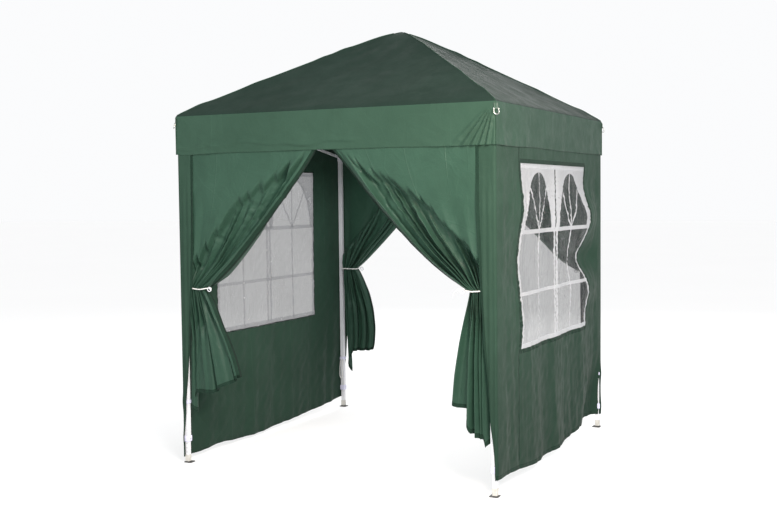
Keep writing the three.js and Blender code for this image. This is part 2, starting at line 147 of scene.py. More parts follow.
# ---------------------------------------------------------------- mesh building
class Build:
    """Collects grids, tubes and lofts, and makes them one mesh object."""

    def __init__(self):
        self.points, self.faces, self.uvs, self.slots = [], [], [], []
        self.count = 0

    def _add(self, points, faces, uvs, slot):
        self.points.append(np.asarray(points, float).reshape(-1, 3))
        self.faces += (np.asarray(faces) + self.count).tolist()
        self.uvs.append(np.asarray(uvs, float).reshape(-1, 2))
        self.slots += [slot] * len(faces)
        self.count += len(self.points[-1])

    def grid(self, points, uv, slot=0, keep=None, flip=False):
        """points is rows by columns by 3; keep says which faces stay."""
        rows, cols = points.shape[:2]
        n = np.arange(rows * cols).reshape(rows, cols)
        quad = [n[:-1, :-1], n[:-1, 1:], n[1:, 1:], n[1:, :-1]]
        faces = np.stack(quad[::-1] if flip else quad, -1).reshape(-1, 4)
        if keep is not None:
            faces = faces[keep.reshape(-1)]
        flat = uv.reshape(-1, 2)
        self._add(points, faces, flat[faces.reshape(-1)], slot)

    def closed(self, rings, slot=0, caps=True, around=1.0, along=1.0):
        """rings is rings by points by 3, each ring closed; caps closes the two ends."""
        rows, cols = rings.shape[:2]
        n = np.arange(rows * cols).reshape(rows, cols)
        faces = ring_quads(n)
        v, u = np.meshgrid(np.linspace(0, along, rows), np.arange(cols) * around / cols, indexing="ij")
        step = around / cols
        left, right, low, high = u[:-1], u[:-1] + step, v[:-1], v[1:]
        corners = [pair(left, low), pair(right, low), pair(right, high), pair(left, high)]
        uv = np.stack(corners, -2).reshape(-1, 2)
        start = self.count
        self._add(rings, faces, uv, slot)
        if caps:
            for ring, order in ((0, -1), (rows - 1, 1)):
                self.faces.append((n[ring][::order] + start).tolist())
                self.uvs.append(np.zeros((cols, 2)))
                self.slots.append(slot)

    def tube(self, path, radius, sides=10, slot=0, flat=1.0):
        """A tube along path; flat below 1 makes it a band, thin along its second axis."""
        path = np.asarray(path, float)
        radius = np.broadcast_to(radius, len(path))
        ahead = np.gradient(path, axis=0)
        ahead /= np.linalg.norm(ahead, axis=1)[:, None]
        side = np.cross(ahead[0], (0, 0, 1))
        if np.linalg.norm(side) < 0.2:
            side = np.cross(ahead[0], (1, 0, 0))
        turn = np.arange(sides) * 2 * math.pi / sides
        rings = []
        for place, direction, r in zip(path, ahead, radius):
            side = side - direction * (side @ direction)
            side /= np.linalg.norm(side)
            up = np.cross(side, direction)
            rings.append(place + r * (np.cos(turn)[:, None] * up + flat * np.sin(turn)[:, None] * side))
        length = np.linalg.norm(np.diff(path, axis=0), axis=1).sum()
        self.closed(np.array(rings), slot, around=2 * math.pi * float(radius.max()), along=length)

    def collar(self, centre, profile, slot=0, steps=5):
        """A square ring with rounded corners; profile is a closed loop of (half width, z, corner)."""
        cx, cy = centre
        rings = []
        for half, z, corner in profile:
            ring = []
            for quarter in range(4):
                for k in range(steps + 1):
                    a = (quarter + k / steps) * math.pi / 2
                    sx, sy = ((1, 1), (-1, 1), (-1, -1), (1, -1))[quarter]
                    ring.append((
                        cx + sx * (half - corner) + corner * math.cos(a),
                        cy + sy * (half - corner) + corner * math.sin(a), z,
                    ))
            rings.append(ring)
        rings = np.array(rings)
        n = np.arange(rings.shape[0] * rings.shape[1]).reshape(rings.shape[:2])
        faces = ring_quads(np.vstack([n, n[:1]]))
        self._add(rings, faces, np.zeros((len(faces) * 4, 2)), slot)

    def lathe(self, centre, axis, profile, sides=16, slot=0):
        """A turned shape: profile is (radius, height along axis) from one end to the other."""
        axis = np.array(axis, float) / np.linalg.norm(axis)
        side = np.cross(axis, (0.3, 0.5, 0.8))
        side /= np.linalg.norm(side)
        up = np.cross(axis, side)
        turn = np.arange(sides) * 2 * math.pi / sides
        rings = [
            np.array(centre) + axis * h + r * (np.cos(turn)[:, None] * side + np.sin(turn)[:, None] * up)
            for r, h in profile
        ]
        self.closed(np.array(rings), slot)

    def object(self, name, materials, thickness=None):
        points = np.vstack(self.points)
        used = np.unique(np.concatenate([np.asarray(f) for f in self.faces]))
        renumber = np.full(len(points), -1)
        renumber[used] = np.arange(len(used))
        faces = [[int(renumber[i]) for i in f] for f in self.faces]
        mesh = bpy.data.meshes.new(name)
        mesh.from_pydata(points[used].tolist(), [], faces)
        layer = mesh.uv_layers.new(name="UVMap")
        layer.data.foreach_set("uv", np.vstack(self.uvs).astype(np.float32).ravel())
        for m in materials:
            mesh.materials.append(m)
        mesh.polygons.foreach_set("material_index", self.slots)
        mesh.polygons.foreach_set("use_smooth", [True] * len(mesh.polygons))
        mesh.update()
        made = bpy.data.objects.new(name, mesh)
        bpy.context.scene.collection.objects.link(made)
        if thickness:
            solid = made.modifiers.new("cloth_thickness", "SOLIDIFY")
            solid.thickness = thickness
            solid.offset = 0
        return made


def normals(points):
    """Unit normals of a grid of points."""
    across = np.gradient(points, axis=1)
    down = np.gradient(points, axis=0)
    n = np.cross(across, down)
    return n / np.maximum(np.linalg.norm(n, axis=-1, keepdims=True), 1e-12)


# ---------------------------------------------------------------- materials
class Nodes:
    """A node material with a few short calls."""

    def __init__(self, name, **uniform):
        self.material = bpy.data.materials.new(name)
        self.material.use_nodes = True
        self.tree = self.material.node_tree
        self.shader = self.tree.nodes["Principled BSDF"]
        for key, value in uniform.items():
            self.shader.inputs[key.replace("_", " ")].default_value = value
        self.place = self.node("TexCoord").outputs["Object"]

    def node(self, kind, links=None, **settings):
        made = self.tree.nodes.new("ShaderNode" + kind)
        for key, value in settings.items():
            setattr(made, key, value)
        for socket, value in (links or {}).items():
            target = made.inputs[socket]
            if isinstance(value, bpy.types.NodeSocket):
                self.tree.links.new(value, target)
            else:
                target.default_value = value
        return made

    def uv(self):
        """The UV vector, and its two parts."""
        vector = self.node("UVMap").outputs[0]
        parts = self.node("SeparateXYZ", {0: vector}).outputs
        return vector, parts[0], parts[1]

    def height(self):
        return self.node("SeparateXYZ", {0: self.place}).outputs[2]

    def maths(self, operation, *values):
        return self.node("Math", dict(enumerate(values)), operation=operation).outputs[0]

    def times(self, a, b):
        return self.maths("MULTIPLY", a, b)

    def wave(self, value, pitch):
        return self.maths("SINE", self.times(value, 2 * math.pi / pitch))

    def cells(self, where, scale):
        """Distance to the nearest edge of a pattern of cells."""
        made = self.node("TexVoronoi", {"Vector": where, "Scale": scale}, feature="DISTANCE_TO_EDGE")
        return made.outputs[0]

    def noise(self, where, scale, detail=3.0, rough=0.5, distortion=0.0):
        made = self.node("TexNoise", {
            "Vector": where, "Scale": scale, "Detail": detail,
            "Roughness": rough, "Distortion": distortion,
        })
        return made.outputs["Fac"]

    def stretch(self, where, scale):
        return self.node("Mapping", {"Vector": where, "Scale": scale}).outputs[0]

    def ramp(self, value, low, high, to_low=0.0, to_high=1.0):
        return self.node("MapRange", {
            "Value": value, "From Min": low, "From Max": high, "To Min": to_low, "To Max": to_high,
        }, interpolation_type="SMOOTHSTEP").outputs[0]

    def mix(self, share, a, b):
        made = self.tree.nodes.new("ShaderNodeMix")
        made.data_type = "RGBA"
        for socket, value in ((made.inputs[0], share), (made.inputs[6], a), (made.inputs[7], b)):
            if isinstance(value, bpy.types.NodeSocket):
                self.tree.links.new(value, socket)
            else:
                socket.default_value = (*value, 1) if hasattr(value, "__len__") else value
        return made.outputs[2]

    def bump(self, height, distance, strength=1.0, under=None):
        links = {"Height": height, "Distance": distance, "Strength": strength}
        if under is not None:
            links["Normal"] = under
        return self.node("Bump", links).outputs[0]

    def let_light_through(self, share, colour):
        """Part of the light that falls on the other face comes through."""
        through = self.node("BsdfTranslucent")
        if isinstance(colour, bpy.types.NodeSocket):
            self.tree.links.new(colour, through.inputs[0])
        else:
            through.inputs[0].default_value = (*colour, 1)
        both = self.node("MixShader", {0: share, 1: self.shader.outputs[0], 2: through.outputs[0]})
        self.tree.links.new(both.outputs[0], self.tree.nodes["Material Output"].inputs[0])

    def set(self, socket, value):
        self.tree.links.new(value, self.shader.inputs[socket])


FADE = 0.16               # how much paler the cloth is in its faded parts


def scaled(colour, share):
    return tuple(c * share for c in colour)


def cloth_material(name, colour, rough=0.46, creases=1.0, crinkle=1.0, seed=0.0, painted_low_shade=0.0,
                   ior=1.26, through=0.2, sheen=0.03):
    """Coated polyester: a fine plain weave, soft sheen, packing creases and crinkles."""
    n = Nodes(name, Sheen_Weight=sheen, Sheen_Roughness=0.4, Specular_IOR_Level=0.45, IOR=ior)
    uv, across, along = n.uv()
    place = n.place

    # plain weave: over and under in turn, with yarns of uneven thickness
    weave = n.times(n.wave(across, THREAD), n.wave(along, THREAD))
    slubs = n.noise(n.stretch(uv, (18, 900, 1)), 1.0, 2.0)
    slubs_down = n.noise(n.stretch(uv, (900, 18, 1)), 1.0, 2.0)
    yarn = n.maths("ADD", slubs, slubs_down)

    # colour: broad fading, mottling and the yarns
    broad = n.noise(place, 1.7 + seed, 3.0, 0.55)
    mottle = n.noise(place, 11.0, 4.0, 0.6)
    faded = tuple(c * (1 + FADE) + 0.012 * FADE for c in colour)
    tone = n.mix(n.ramp(broad, 0.35, 0.68), colour, faded)
    tone = n.mix(n.ramp(mottle, 0.4, 0.75, 0.0, 0.22), tone, scaled(colour, 0.72))
    tone = n.mix(n.ramp(yarn, 0.75, 1.25, 0.0, 0.16), tone, scaled(colour, 1.35))
    tone = n.mix(n.ramp(weave, -1.0, 1.0, 0.14, 0.0), tone, scaled(colour, 0.55))
    # painted shade: the cloth is painted darker towards its bottom, towards a darker copy of its colour
    if painted_low_shade:
        low = n.ramp(n.height(), -0.1, 1.5, painted_low_shade, 0.0)
        tone = n.mix(low, tone, scaled(colour, 0.35))

    # creases from the bag it was packed in, soft crinkles, then the weave on top
    drift = n.node("TexNoise", {"Vector": place, "Scale": 2.2}).outputs["Color"]
    drift = n.node("VectorMath", {0: drift, 1: (0.22, 0.22, 0.22)}, operation="MULTIPLY").outputs[0]
    wander = n.node("VectorMath", {0: place, 1: drift}, operation="ADD").outputs[0]
    crease = n.ramp(n.cells(wander, 4.3), 0.0, 0.035, 1.0, 0.0)
    fold = n.maths("PINGPONG", across, 0.125)
    packed_crease_and_highlight = n.ramp(fold, 0.0, 0.004, 1.0, 0.0)
    packed_crease_and_highlight = n.times(packed_crease_and_highlight, n.ramp(broad, 0.42, 0.6))
    soft = n.noise(place, 6.5, 4.0, 0.55, 0.7)
    fine = n.noise(n.stretch(place, (1, 1, 0.45)), 42.0, 3.0, 0.6, 0.4)
    normal = n.bump(soft, 0.016 * crinkle, 0.8)
    normal = n.bump(crease, 0.0010 * creases, 0.5, normal)
    normal = n.bump(packed_crease_and_highlight, 0.0016 * creases, 0.7, normal)
    normal = n.bump(fine, 0.0008 * crinkle, 0.6, normal)
    normal = n.bump(yarn, 0.00006, 0.5, normal)
    normal = n.bump(weave, 0.00007, 0.6, normal)

    # painted highlight: the cloth is painted lighter along the creases and the packing folds
    tone = n.mix(n.times(crease, 0.08), tone, scaled(colour, 1.4))
    tone = n.mix(n.times(packed_crease_and_highlight, 0.25), tone, scaled(colour, 1.7))
    n.set("Base Color", tone)
    n.set("Roughness", n.ramp(mottle, 0.3, 0.75, rough - 0.06, rough + 0.1))
    n.set("Normal", normal)
    n.let_light_through(through, n.mix(n.ramp(broad, 0.3, 0.7), scaled(colour, 3.6), scaled(colour, 4.2)))
    return n.material


def hem_material(name, colour, rows):
    """Turned hem: the same cloth doubled, with rows of lock stitching along it."""
    pitch = 0.0045
    n = Nodes(name, Sheen_Weight=0.03, Sheen_Roughness=0.45, Specular_IOR_Level=0.4, Roughness=0.6, IOR=1.12)
    uv, along, across = n.uv()
    dash = n.ramp(n.maths("PINGPONG", along, pitch / 2), pitch * 0.08, pitch * 0.16)
    thread = None
    for row in rows:
        near = n.ramp(n.maths("ABSOLUTE", n.maths("SUBTRACT", across, row)), 0.0004, 0.0009, 1.0, 0.0)
        thread = near if thread is None else n.maths("MAXIMUM", thread, near)
    stitch = n.times(thread, dash)
    mottle = n.noise(n.place, 18.0, 4.0, 0.6)
    pucker = n.noise(n.stretch(uv, (70, 14, 1)), 1.0, 3.0)
    tone = n.mix(n.ramp(mottle, 0.35, 0.7), scaled(colour, 0.82), colour)
    tone = n.mix(stitch, tone, scaled(colour, 1.7))
    weave = n.times(n.wave(along, THREAD), n.wave(across, THREAD))
    normal = n.bump(pucker, 0.0035, 0.6)
    normal = n.bump(thread, 0.0006, 0.8, normal)
    normal = n.bump(stitch, 0.0005, 0.8, normal)
    normal = n.bump(weave, 0.00007, 0.6, normal)
    n.set("Base Color", tone)
    n.set("Normal", normal)
    return n.material


def zip_material():
    """Dark coil zip: teeth across the tape."""
    n = Nodes("zip_tape", Roughness=0.6, Specular_IOR_Level=0.2, IOR=1.15)
    _, along, across = n.uv()
    tooth = n.ramp(n.maths("PINGPONG", along, 0.00125), 0.0003, 0.0007)
    coil = n.ramp(n.maths("ABSOLUTE", across), 0.002, 0.0028, 1.0, 0.0)
    teeth = n.times(tooth, coil)
    grime = n.noise(n.place, 40.0, 3.0)
    tone = n.mix(n.ramp(grime, 0.3, 0.7), (0.006, 0.012, 0.009), (0.012, 0.021, 0.016))
    n.set("Base Color", n.mix(teeth, tone, (0.020, 0.032, 0.026)))
    n.set("Normal", n.bump(teeth, 0.0008, 0.9))
    return n.material


def pvc_material():
    """Clear film that has gone a little milky, with crinkles pressed into it."""
    n = Nodes("window_film", Alpha=0.60, Specular_IOR_Level=0.45, IOR=1.4)
    place = n.place
    milk = n.noise(place, 3.0, 3.0)
    crinkle = n.noise(n.stretch(place, (1, 1, 0.28)), 26.0, 4.0, 0.62, 0.8)
    fine = n.noise(n.stretch(place, (1, 1, 0.5)), 90.0, 3.0, 0.6, 0.5)
    ridge = n.ramp(n.cells(n.stretch(place, (1, 1, 0.4)), 17.0), 0.0, 0.05, 1.0, 0.0)
    patches = n.ramp(milk, 0.42, 0.62)
    n.set("Base Color", n.mix(patches, (0.020, 0.022, 0.024), (0.045, 0.047, 0.050)))
    n.set("Roughness", n.ramp(milk, 0.3, 0.7, 0.07, 0.13))
    normal = n.bump(crinkle, 0.020, 0.6)
    normal = n.bump(n.times(ridge, patches), 0.0030, 0.6, normal)
    normal = n.bump(fine, 0.0012, 0.5, normal)
    # small sharp crumples that catch the light, in patches
    crumple = n.noise(n.stretch(place, (1, 1, 0.5)), 60.0, 2.0, 0.5, 1.2)
    where = n.ramp(n.noise(n.stretch(place, (1, 1, 0.35)), 7.0, 2.0), 0.56, 0.62)
    normal = n.bump(n.times(crumple, where), 0.022, 1.0, normal)
    n.set("Normal", normal)
    return n.material


def print_material():
    """White ink printed on the film: not quite opaque, and slightly worn."""
    n = Nodes("white_print", Specular_IOR_Level=0.5, Coat_Weight=0.3, Coat_Roughness=0.1, Alpha=0.86)
    place = n.place
    worn = n.noise(place, 30.0, 4.0, 0.6)
    crinkle = n.noise(n.stretch(place, (1, 1, 0.3)), 26.0, 4.0, 0.6, 0.8)
    n.set("Base Color", n.mix(n.ramp(worn, 0.3, 0.75), (0.62, 0.63, 0.65), (0.54, 0.55, 0.58)))
    n.set("Roughness", n.ramp(worn, 0.3, 0.7, 0.25, 0.4))
    n.set("Normal", n.bump(crinkle, 0.004, 0.5))
    n.let_light_through(0.52, (0.96, 0.96, 0.98))
    return n.material


def coated_material(name, colour, rough, low_z=0.0):
    """White powder coat or moulded plastic: orange peel, rubbed edges, dust near the ground."""
    n = Nodes(name, Specular_IOR_Level=0.5)
    place, height = n.place, n.height()
    peel = n.noise(place, 700.0, 2.0)
    cloud = n.noise(place, 9.0, 4.0, 0.6)
    scuff = n.noise(n.stretch(place, (3, 3, 60)), 6.0, 4.0, 0.7)
    dust = n.times(n.ramp(height, low_z, low_z + 0.35, 1.0, 0.25), n.ramp(cloud, 0.35, 0.75))
    edge = n.node("NewGeometry").outputs["Pointiness"]
    tone = n.mix(n.ramp(cloud, 0.3, 0.7), colour, scaled(colour, 0.93))
    tone = n.mix(n.times(dust, 0.25), tone, (0.34, 0.32, 0.29))
    tone = n.mix(n.ramp(scuff, 0.62, 0.72, 0.0, 0.25), tone, scaled(colour, 0.72))
    tone = n.mix(n.ramp(edge, 0.54, 0.62, 0.0, 0.3), tone, scaled(colour, 0.7))
    n.set("Base Color", tone)
    n.set("Roughness", n.ramp(cloud, 0.3, 0.7, rough - 0.05, rough + 0.08))
    n.set("Normal", n.bump(peel, 0.00006, 0.6))
    return n.material


def foot_material():
    """Two colours of plastic in one moulding: dark plate, pale grey socket."""
    n = Nodes("foot_two_tone", Specular_IOR_Level=0.45)
    place, height = n.place, n.height()
    grain = n.noise(place, 900.0, 2.0)
    cloud = n.noise(place, 60.0, 4.0, 0.6)
    plate = n.mix(n.ramp(cloud, 0.3, 0.7), (0.020, 0.021, 0.022), (0.050, 0.049, 0.046))
    socket = n.mix(n.ramp(cloud, 0.3, 0.7), (0.50, 0.49, 0.46), (0.40, 0.39, 0.36))
    n.set("Base Color", n.mix(n.ramp(height, 0.0075, 0.0085), plate, socket))
    n.set("Roughness", n.ramp(cloud, 0.3, 0.7, 0.5, 0.65))
    n.set("Normal", n.bump(grain, 0.00012, 0.7))
    return n.material


def metal_material():
    """Bright zinc-plated wire, a little dulled."""
    n = Nodes("zinc", Metallic=1.0)
    place = n.place
    cloud = n.noise(place, 120.0, 4.0, 0.6)
    drawn = n.noise(n.stretch(place, (1, 1, 12)), 300.0, 2.0)
    n.set("Base Color", n.mix(n.ramp(cloud, 0.3, 0.7), (0.62, 0.62, 0.60), (0.42, 0.42, 0.40)))
    n.set("Roughness", n.ramp(cloud, 0.3, 0.7, 0.22, 0.4))
    n.set("Normal", n.bump(drawn, 0.0001, 0.5))
    return n.material


def webbing_material(name, colour):
    """Woven band or braided cord: a herringbone of yarns."""
    n = Nodes(name, Roughness=0.7, Sheen_Weight=0.3, Sheen_Roughness=0.5, Specular_IOR_Level=0.3)
    _, u, v = n.uv()
    braid = n.times(n.wave(n.maths("ADD", u, v), YARN), n.wave(n.maths("SUBTRACT", u, v), YARN))
    grime = n.noise(n.place, 60.0, 4.0, 0.6)
    tone = n.mix(n.ramp(braid, -1.0, 1.0), scaled(colour, 0.7), colour)
    n.set("Base Color", n.mix(n.ramp(grime, 0.45, 0.75, 0.0, 0.3), tone, scaled(colour, 0.55)))
    n.set("Normal", n.bump(braid, 0.0004, 0.8))
    return n.material


ROOF_GREEN = (0.0151, 0.0289, 0.0228)
VALANCE_GREEN = (0.0275, 0.0640, 0.0430)
WALL_GREEN = (0.0260, 0.0560, 0.0390)
CURTAIN_GREEN = (0.0265, 0.0650, 0.0440)
ROOF = cloth_material("roof_cloth", ROOF_GREEN, rough=0.62, creases=0.3, crinkle=0.08, ior=1.08, through=0.1,
                      sheen=0.015)
VALANCE = cloth_material("valance_cloth", VALANCE_GREEN, rough=0.5, creases=0.6, crinkle=0.5)
# the side walls and curtains are painted darker towards the bottom: painted shade
WALL = cloth_material("side_wall_cloth", WALL_GREEN, rough=0.50, crinkle=0.5, seed=0.3, painted_low_shade=0.55, ior=1.14)
CURTAIN = cloth_material("curtain_cloth", CURTAIN_GREEN, rough=0.40, creases=1.2, crinkle=0.9, seed=0.6,
                         painted_low_shade=0.4)
HEM = hem_material("stitched_hem", scaled(CURTAIN_GREEN, 0.45), rows=(-0.005, 0.005))
PIPING = hem_material("corner_piping", scaled(VALANCE_GREEN, 0.9), rows=(0.004, 0.004))
ZIP = zip_material()
FILM = pvc_material()
PRINT = print_material()
STEEL = coated_material("white_powder_coat", (0.66, 0.67, 0.70), 0.36)
PLASTIC = coated_material("white_plastic", (0.70, 0.71, 0.75), 0.42, low_z=1.6)
LAVENDER = coated_material("pale_collar_plastic", (0.60, 0.60, 0.76), 0.40)
FOOT = foot_material()
ZINC = metal_material()
WHITE_BAND = webbing_material("white_band", (0.80, 0.80, 0.78))
GREEN_WEBBING = webbing_material("green_webbing", (0.040, 0.085, 0.058))


# ---------------------------------------------------------------- camera, light and floor
def camera_and_light():
    yaw, pitch, roll = (math.radians(a) for a in (26.0923, -3.2222, -0.6395))
    ahead = Vector((-math.sin(yaw) * math.cos(pitch), math.cos(yaw) * math.cos(pitch), math.sin(pitch)))
    level = Vector((math.cos(yaw), math.sin(yaw), 0))
    above = level.cross(ahead)
    right = math.cos(roll) * level + math.sin(roll) * above
    up = -math.sin(roll) * level + math.cos(roll) * above
    data = bpy.data.cameras.new("camera")
    data.lens, data.sensor_width = 52.185, 36
    camera = bpy.data.objects.new("camera", data)
    turn = Matrix((right, up, -ahead)).transposed().to_4x4()
    camera.matrix_world = Matrix.Translation((3.044, -6.436, 1.574)) @ turn
    bpy.context.scene.collection.objects.link(camera)
    bpy.context.scene.camera = camera

    world = bpy.data.worlds.new("studio")
    world.use_nodes = True
    background = world.node_tree.nodes["Background"]
    background.inputs[0].default_value = (0.985, 0.99, 1.0, 1)
    background.inputs[1].default_value = 0.98
    bpy.context.scene.world = world
    bpy.context.scene.view_settings.view_transform = "Standard"

    lights = (
        ("key", (3.7, -4.1, 4.0), 2.2, 370, (1.0, 0.985, 0.955)),
        ("near_corner", (2.2, -2.7, 2.3), 0.9, 50, (1.0, 0.74, 0.52)),
        ("door_fill", (2.9, -7.4, 1.9), 1.6, 140, (1.0, 0.99, 0.98)),
        ("front_fill", (-2.6, -7.5, 3.2), 3.0, 45, (0.97, 0.99, 1.0)),
        ("back", (-1.5, 6.0, 4.5), 4.0, 210, (1.0, 1.0, 1.0)),
        ("inside", (0.0, 0.1, 1.84), 1.2, 19, (1.0, 1.0, 1.0)),
    )
    for name, place, size, power, colour in lights:
        light = bpy.data.lights.new(name, "AREA")
        light.size, light.energy, light.color = size, power, colour
        lamp = bpy.data.objects.new(name, light)
        lamp.location = place
        toward = Vector((0, 0, 1.0)) - Vector(place)
        lamp.visible_camera = False
        lamp.rotation_euler = toward.to_track_quat("-Z", "Y").to_euler()
        bpy.context.scene.collection.objects.link(lamp)

    floor = Build()
    side = np.linspace(-60, 60, 9)
    x, y = np.meshgrid(side, side)
    floor.grid(np.stack([x, y, 0 * x - 0.0005], -1), np.stack([x, y], -1))
    n = Nodes("pale_floor", Roughness=0.9, Specular_IOR_Level=0.05,
              Emission_Color=(1, 1, 1, 1), Emission_Strength=0.50)
    cloud = n.noise(n.place, 0.4, 3.0)
    n.set("Base Color", n.mix(cloud, (0.45, 0.45, 0.45), (0.47, 0.47, 0.47)))
    floor.object("floor", [n.material])


# ---------------------------------------------------------------- how cloth follows the frame
def hook(obj, body, weights):
    """Vertices move with a CAD body, each by its own share."""
    group = obj.vertex_groups.new(name="with_" + body)
    weights = np.round(weights, 3)
    for share in np.unique(weights[weights > 0]):
        group.add(np.nonzero(weights == share)[0].tolist(), float(share), "REPLACE")
    made = obj.modifiers.new("with_" + body, "HOOK")
    made.object = frame["bodies"][body]
    made.vertex_group = group.name
    made.matrix_inverse = Matrix.Identity(4)
    made.falloff_type = "NONE"
    made.strength = 1.0
    if len(obj.modifiers) > 1:
        obj.modifiers.move(len(obj.modifiers) - 1, 0)


def follow_canopy(obj):
    """Canopy cloth draws in along x with the squash, and along y with the upper edge joints.
    It stops short of the mast's cap, which would come through it otherwise."""
    points = np.array([v.co for v in obj.data.vertices])
    x, y = points[:, 0], points[:, 1]

    def folded(distance):
        beyond = np.maximum(distance - MAST_CLEAR, 0) * (HALF - TRAVEL - MAST_CLEAR) / (HALF - MAST_CLEAR)
        return np.minimum(distance, MAST_CLEAR) + beyond

    drawn_in = np.minimum((np.abs(y) - folded(np.abs(y))) / TRAVEL, 1)
    hook(obj, "top_joint_front", np.where(y < 0, drawn_in, 0))
    hook(obj, "top_joint_back", np.where(y > 0, drawn_in, 0))
    held_off = np.maximum(folded(np.abs(x)) - np.abs(x) * (1 - TRAVEL / HALF), 0) / TRAVEL
    hook(obj, "top_joint_left", np.where(x > 0, held_off, 0))
    hook(obj, "top_joint_right", np.where(x < 0, held_off, 0))
    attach(obj, "frame_top")
    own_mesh(obj)


def flatten_outward(obj, axis, plane, room=0.0, limit=10.0):
    """As the frame folds, cloth that stands in from its plane comes out to it, clear of the bars.
    Below the valance it comes out by room more."""
    points = np.abs(np.array([v.co for v in obj.data.vertices]))
    below = 1 - smooth(points[:, 2], VALANCE_Z - 0.10, VALANCE_Z - 0.02)
    inward = np.maximum(plane + room * below - points[:, axis], 0)
    hook(obj, "frame_top", np.where(points[:, 1 - axis] < limit, inward / TRAVEL, 0))


# ---------------------------------------------------------------- canopy
def roof_height(t, across):
    """Height of the roof at t from the peak (0) to the eave (1), across from hip to hip (-1 to 1)."""
    half = t * HALF
    z = EAVE_Z + ROOF_RISE * (1 - t) + ROOF_CROWN * 4 * t * (1 - t)
    z = z - PEAK_DROP * np.clip(1 - half / PEAK_HALF, 0, 1) ** 2
    hollow = 0.016 * 4 * t * (1 - t) * (1 - across ** 2)
    bump = 0.006 * bell(t, 0.27, 0.035) + 0.004 * bell(t, 0.36, 0.03) + 0.007 * bell(t, 0.90, 0.04)
    bump = bump + 0.004 * bell(t, 0.66, 0.05)
    ridge = 0.0022 * bell(np.abs(across), 1.0, 0.02)
    return z - hollow + bump * np.abs(across) ** 6 + ridge * smooth(t, 0.02, 0.1)


def canopy():
    # columns are closer near the corners, and rows near the peak, the eave and the seam
    near = np.linspace(0, 0.30, 46) / HALF
    far = np.linspace(0.30, 1.70, 57)[1:-1] / HALF
    across = np.concatenate([near, far, 2 - near[::-1]]) - 1
    peak, slope = np.linspace(0.004, 0.15, 10), np.linspace(0.15, 0.965, 44)[1:]
    roof_t = np.concatenate([peak, slope, [0.978, 0.989, 0.996]])
    valance = EAVE_Z - VALANCE_Z
    drop = np.concatenate([[0.0, 0.004, 0.010], np.linspace(0.018, valance, 34)])
    slant = math.hypot(HALF, ROOF_RISE)
    build, trim = Build(), Build()
    sides = (("front", 0, -1), ("right", 1, 0), ("back", 0, 1), ("left", -1, 0))
    for number, (side, nx, ny) in enumerate(sides):
        ax, ay = -ny, nx
        t, s = np.meshgrid(roof_t, across, indexing="ij")
        wave = 0.0030 * ripple(20 + number, t * 1.3, s, 0.25, 0.9) * smooth(1 - np.abs(s), 0, 0.12)
        wave = wave * smooth(t, 0.1, 0.3) * smooth(1 - t, 0.0, 0.05)
        z = roof_height(t, s) + wave - 0.004 * smooth(t, 0.97, 1.0)
        half = t * HALF
        roof = np.stack([ax * s * half + nx * half, ay * s * half + ny * half, z], -1)
        roof_uv = pair(s * half, t * slant)

        d, s = np.meshgrid(drop, across, indexing="ij")
        run = s * HALF
        inside = smooth(HALF - np.abs(run), 0.0, 0.05)
        low = smooth(d, 0.03, 0.2)
        out = 0.0035 * ripple(40 + number, run, d * 0.4, 0.18, 0.7) * inside * (0.3 + low)
        out = out + 0.0016 * ripple(60 + number, run, d * 1.2, 0.05, 0.16) * inside * low
        z = EAVE_Z - 0.0055 - d
        z = z + 0.0045 * ripple(80 + number, run, d * 0.1, 0.5, 1.6) * inside * low
        if side == "front":
            # pleats that fan out from the near corner, and the crease above the hem
            u, v = HALF - run, d + 0.012
            reach = np.hypot(u, v)
            turn = np.arctan2(u, v)
            fan = pleat(turn / 0.155 + 0.3) * smooth(turn, 0.0, 0.12) * smooth(-turn, -1.0, -0.62)
            out = out + 0.019 * fan * smooth(reach, 0.015, 0.12) * smooth(-reach, -0.40, -0.22)
            height = 0.030 + 0.010 * np.sin(run * 9.0) + 0.006 * np.sin(run * 23.0 + 1)
            above_hem = valance - d
            crease = bell(above_hem, height, 0.007) * smooth(run, -0.62, -0.3) * smooth(-run, -0.5, -0.15)
            roll = bell(above_hem, height + 0.018, 0.012)
            out = out - 0.010 * crease + 0.006 * roll * smooth(-run, -0.5, -0.1)
            z = z + 0.003 * smooth(-above_hem, -0.03, 0) * smooth(run, -0.5, -0.1) * smooth(-run, -0.75, -0.3)
        # the valance stands out from the walls under it, and never in
        half = HALF - 0.0004 + (out + np.sqrt(out ** 2 + 0.0015 ** 2)) / 2
        band = np.stack([ax * run + nx * half, ay * run + ny * half, z], -1)
        build.grid(band, pair(run, d), slot=1)
        roof = np.concatenate([roof, band[:1]])
        build.grid(roof, np.concatenate([roof_uv, pair(run[:1], slant)]))

        # turned hem along the foot of the valance, and the eave seam
        n = normals(band)
        hem = band[-6:] + n[-6:] * HEM_LIFT
        trim.grid(hem, pair(run[-6:], d[-6:] - d[-3:-2]))
        seam = band[3:6] + n[3:6] * LIFT
        trim.grid(seam, pair(run[3:6], d[3:6] - d[4:5]))
        corner = band[:, -1] + np.array([nx + ax, ny + ay, 0]) * HEM_LIFT
        trim.tube(corner[1:], 0.0024, 8, slot=1)
        hip = roof[2:-1, -1] + np.array([0, 0, HEM_LIFT])
        trim.tube(hip, 0.0022, 8, slot=1)
    cloth = build.object("canopy_cloth", [ROOF, VALANCE])
    merge(cloth)
    solid = cloth.modifiers.new("cloth_thickness", "SOLIDIFY")
    solid.thickness, solid.offset = CLOTH, 0
    edges = trim.object("canopy_trim", [HEM, PIPING])
    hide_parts("canopy")
    for piece in (cloth, edges):
        follow_canopy(piece)


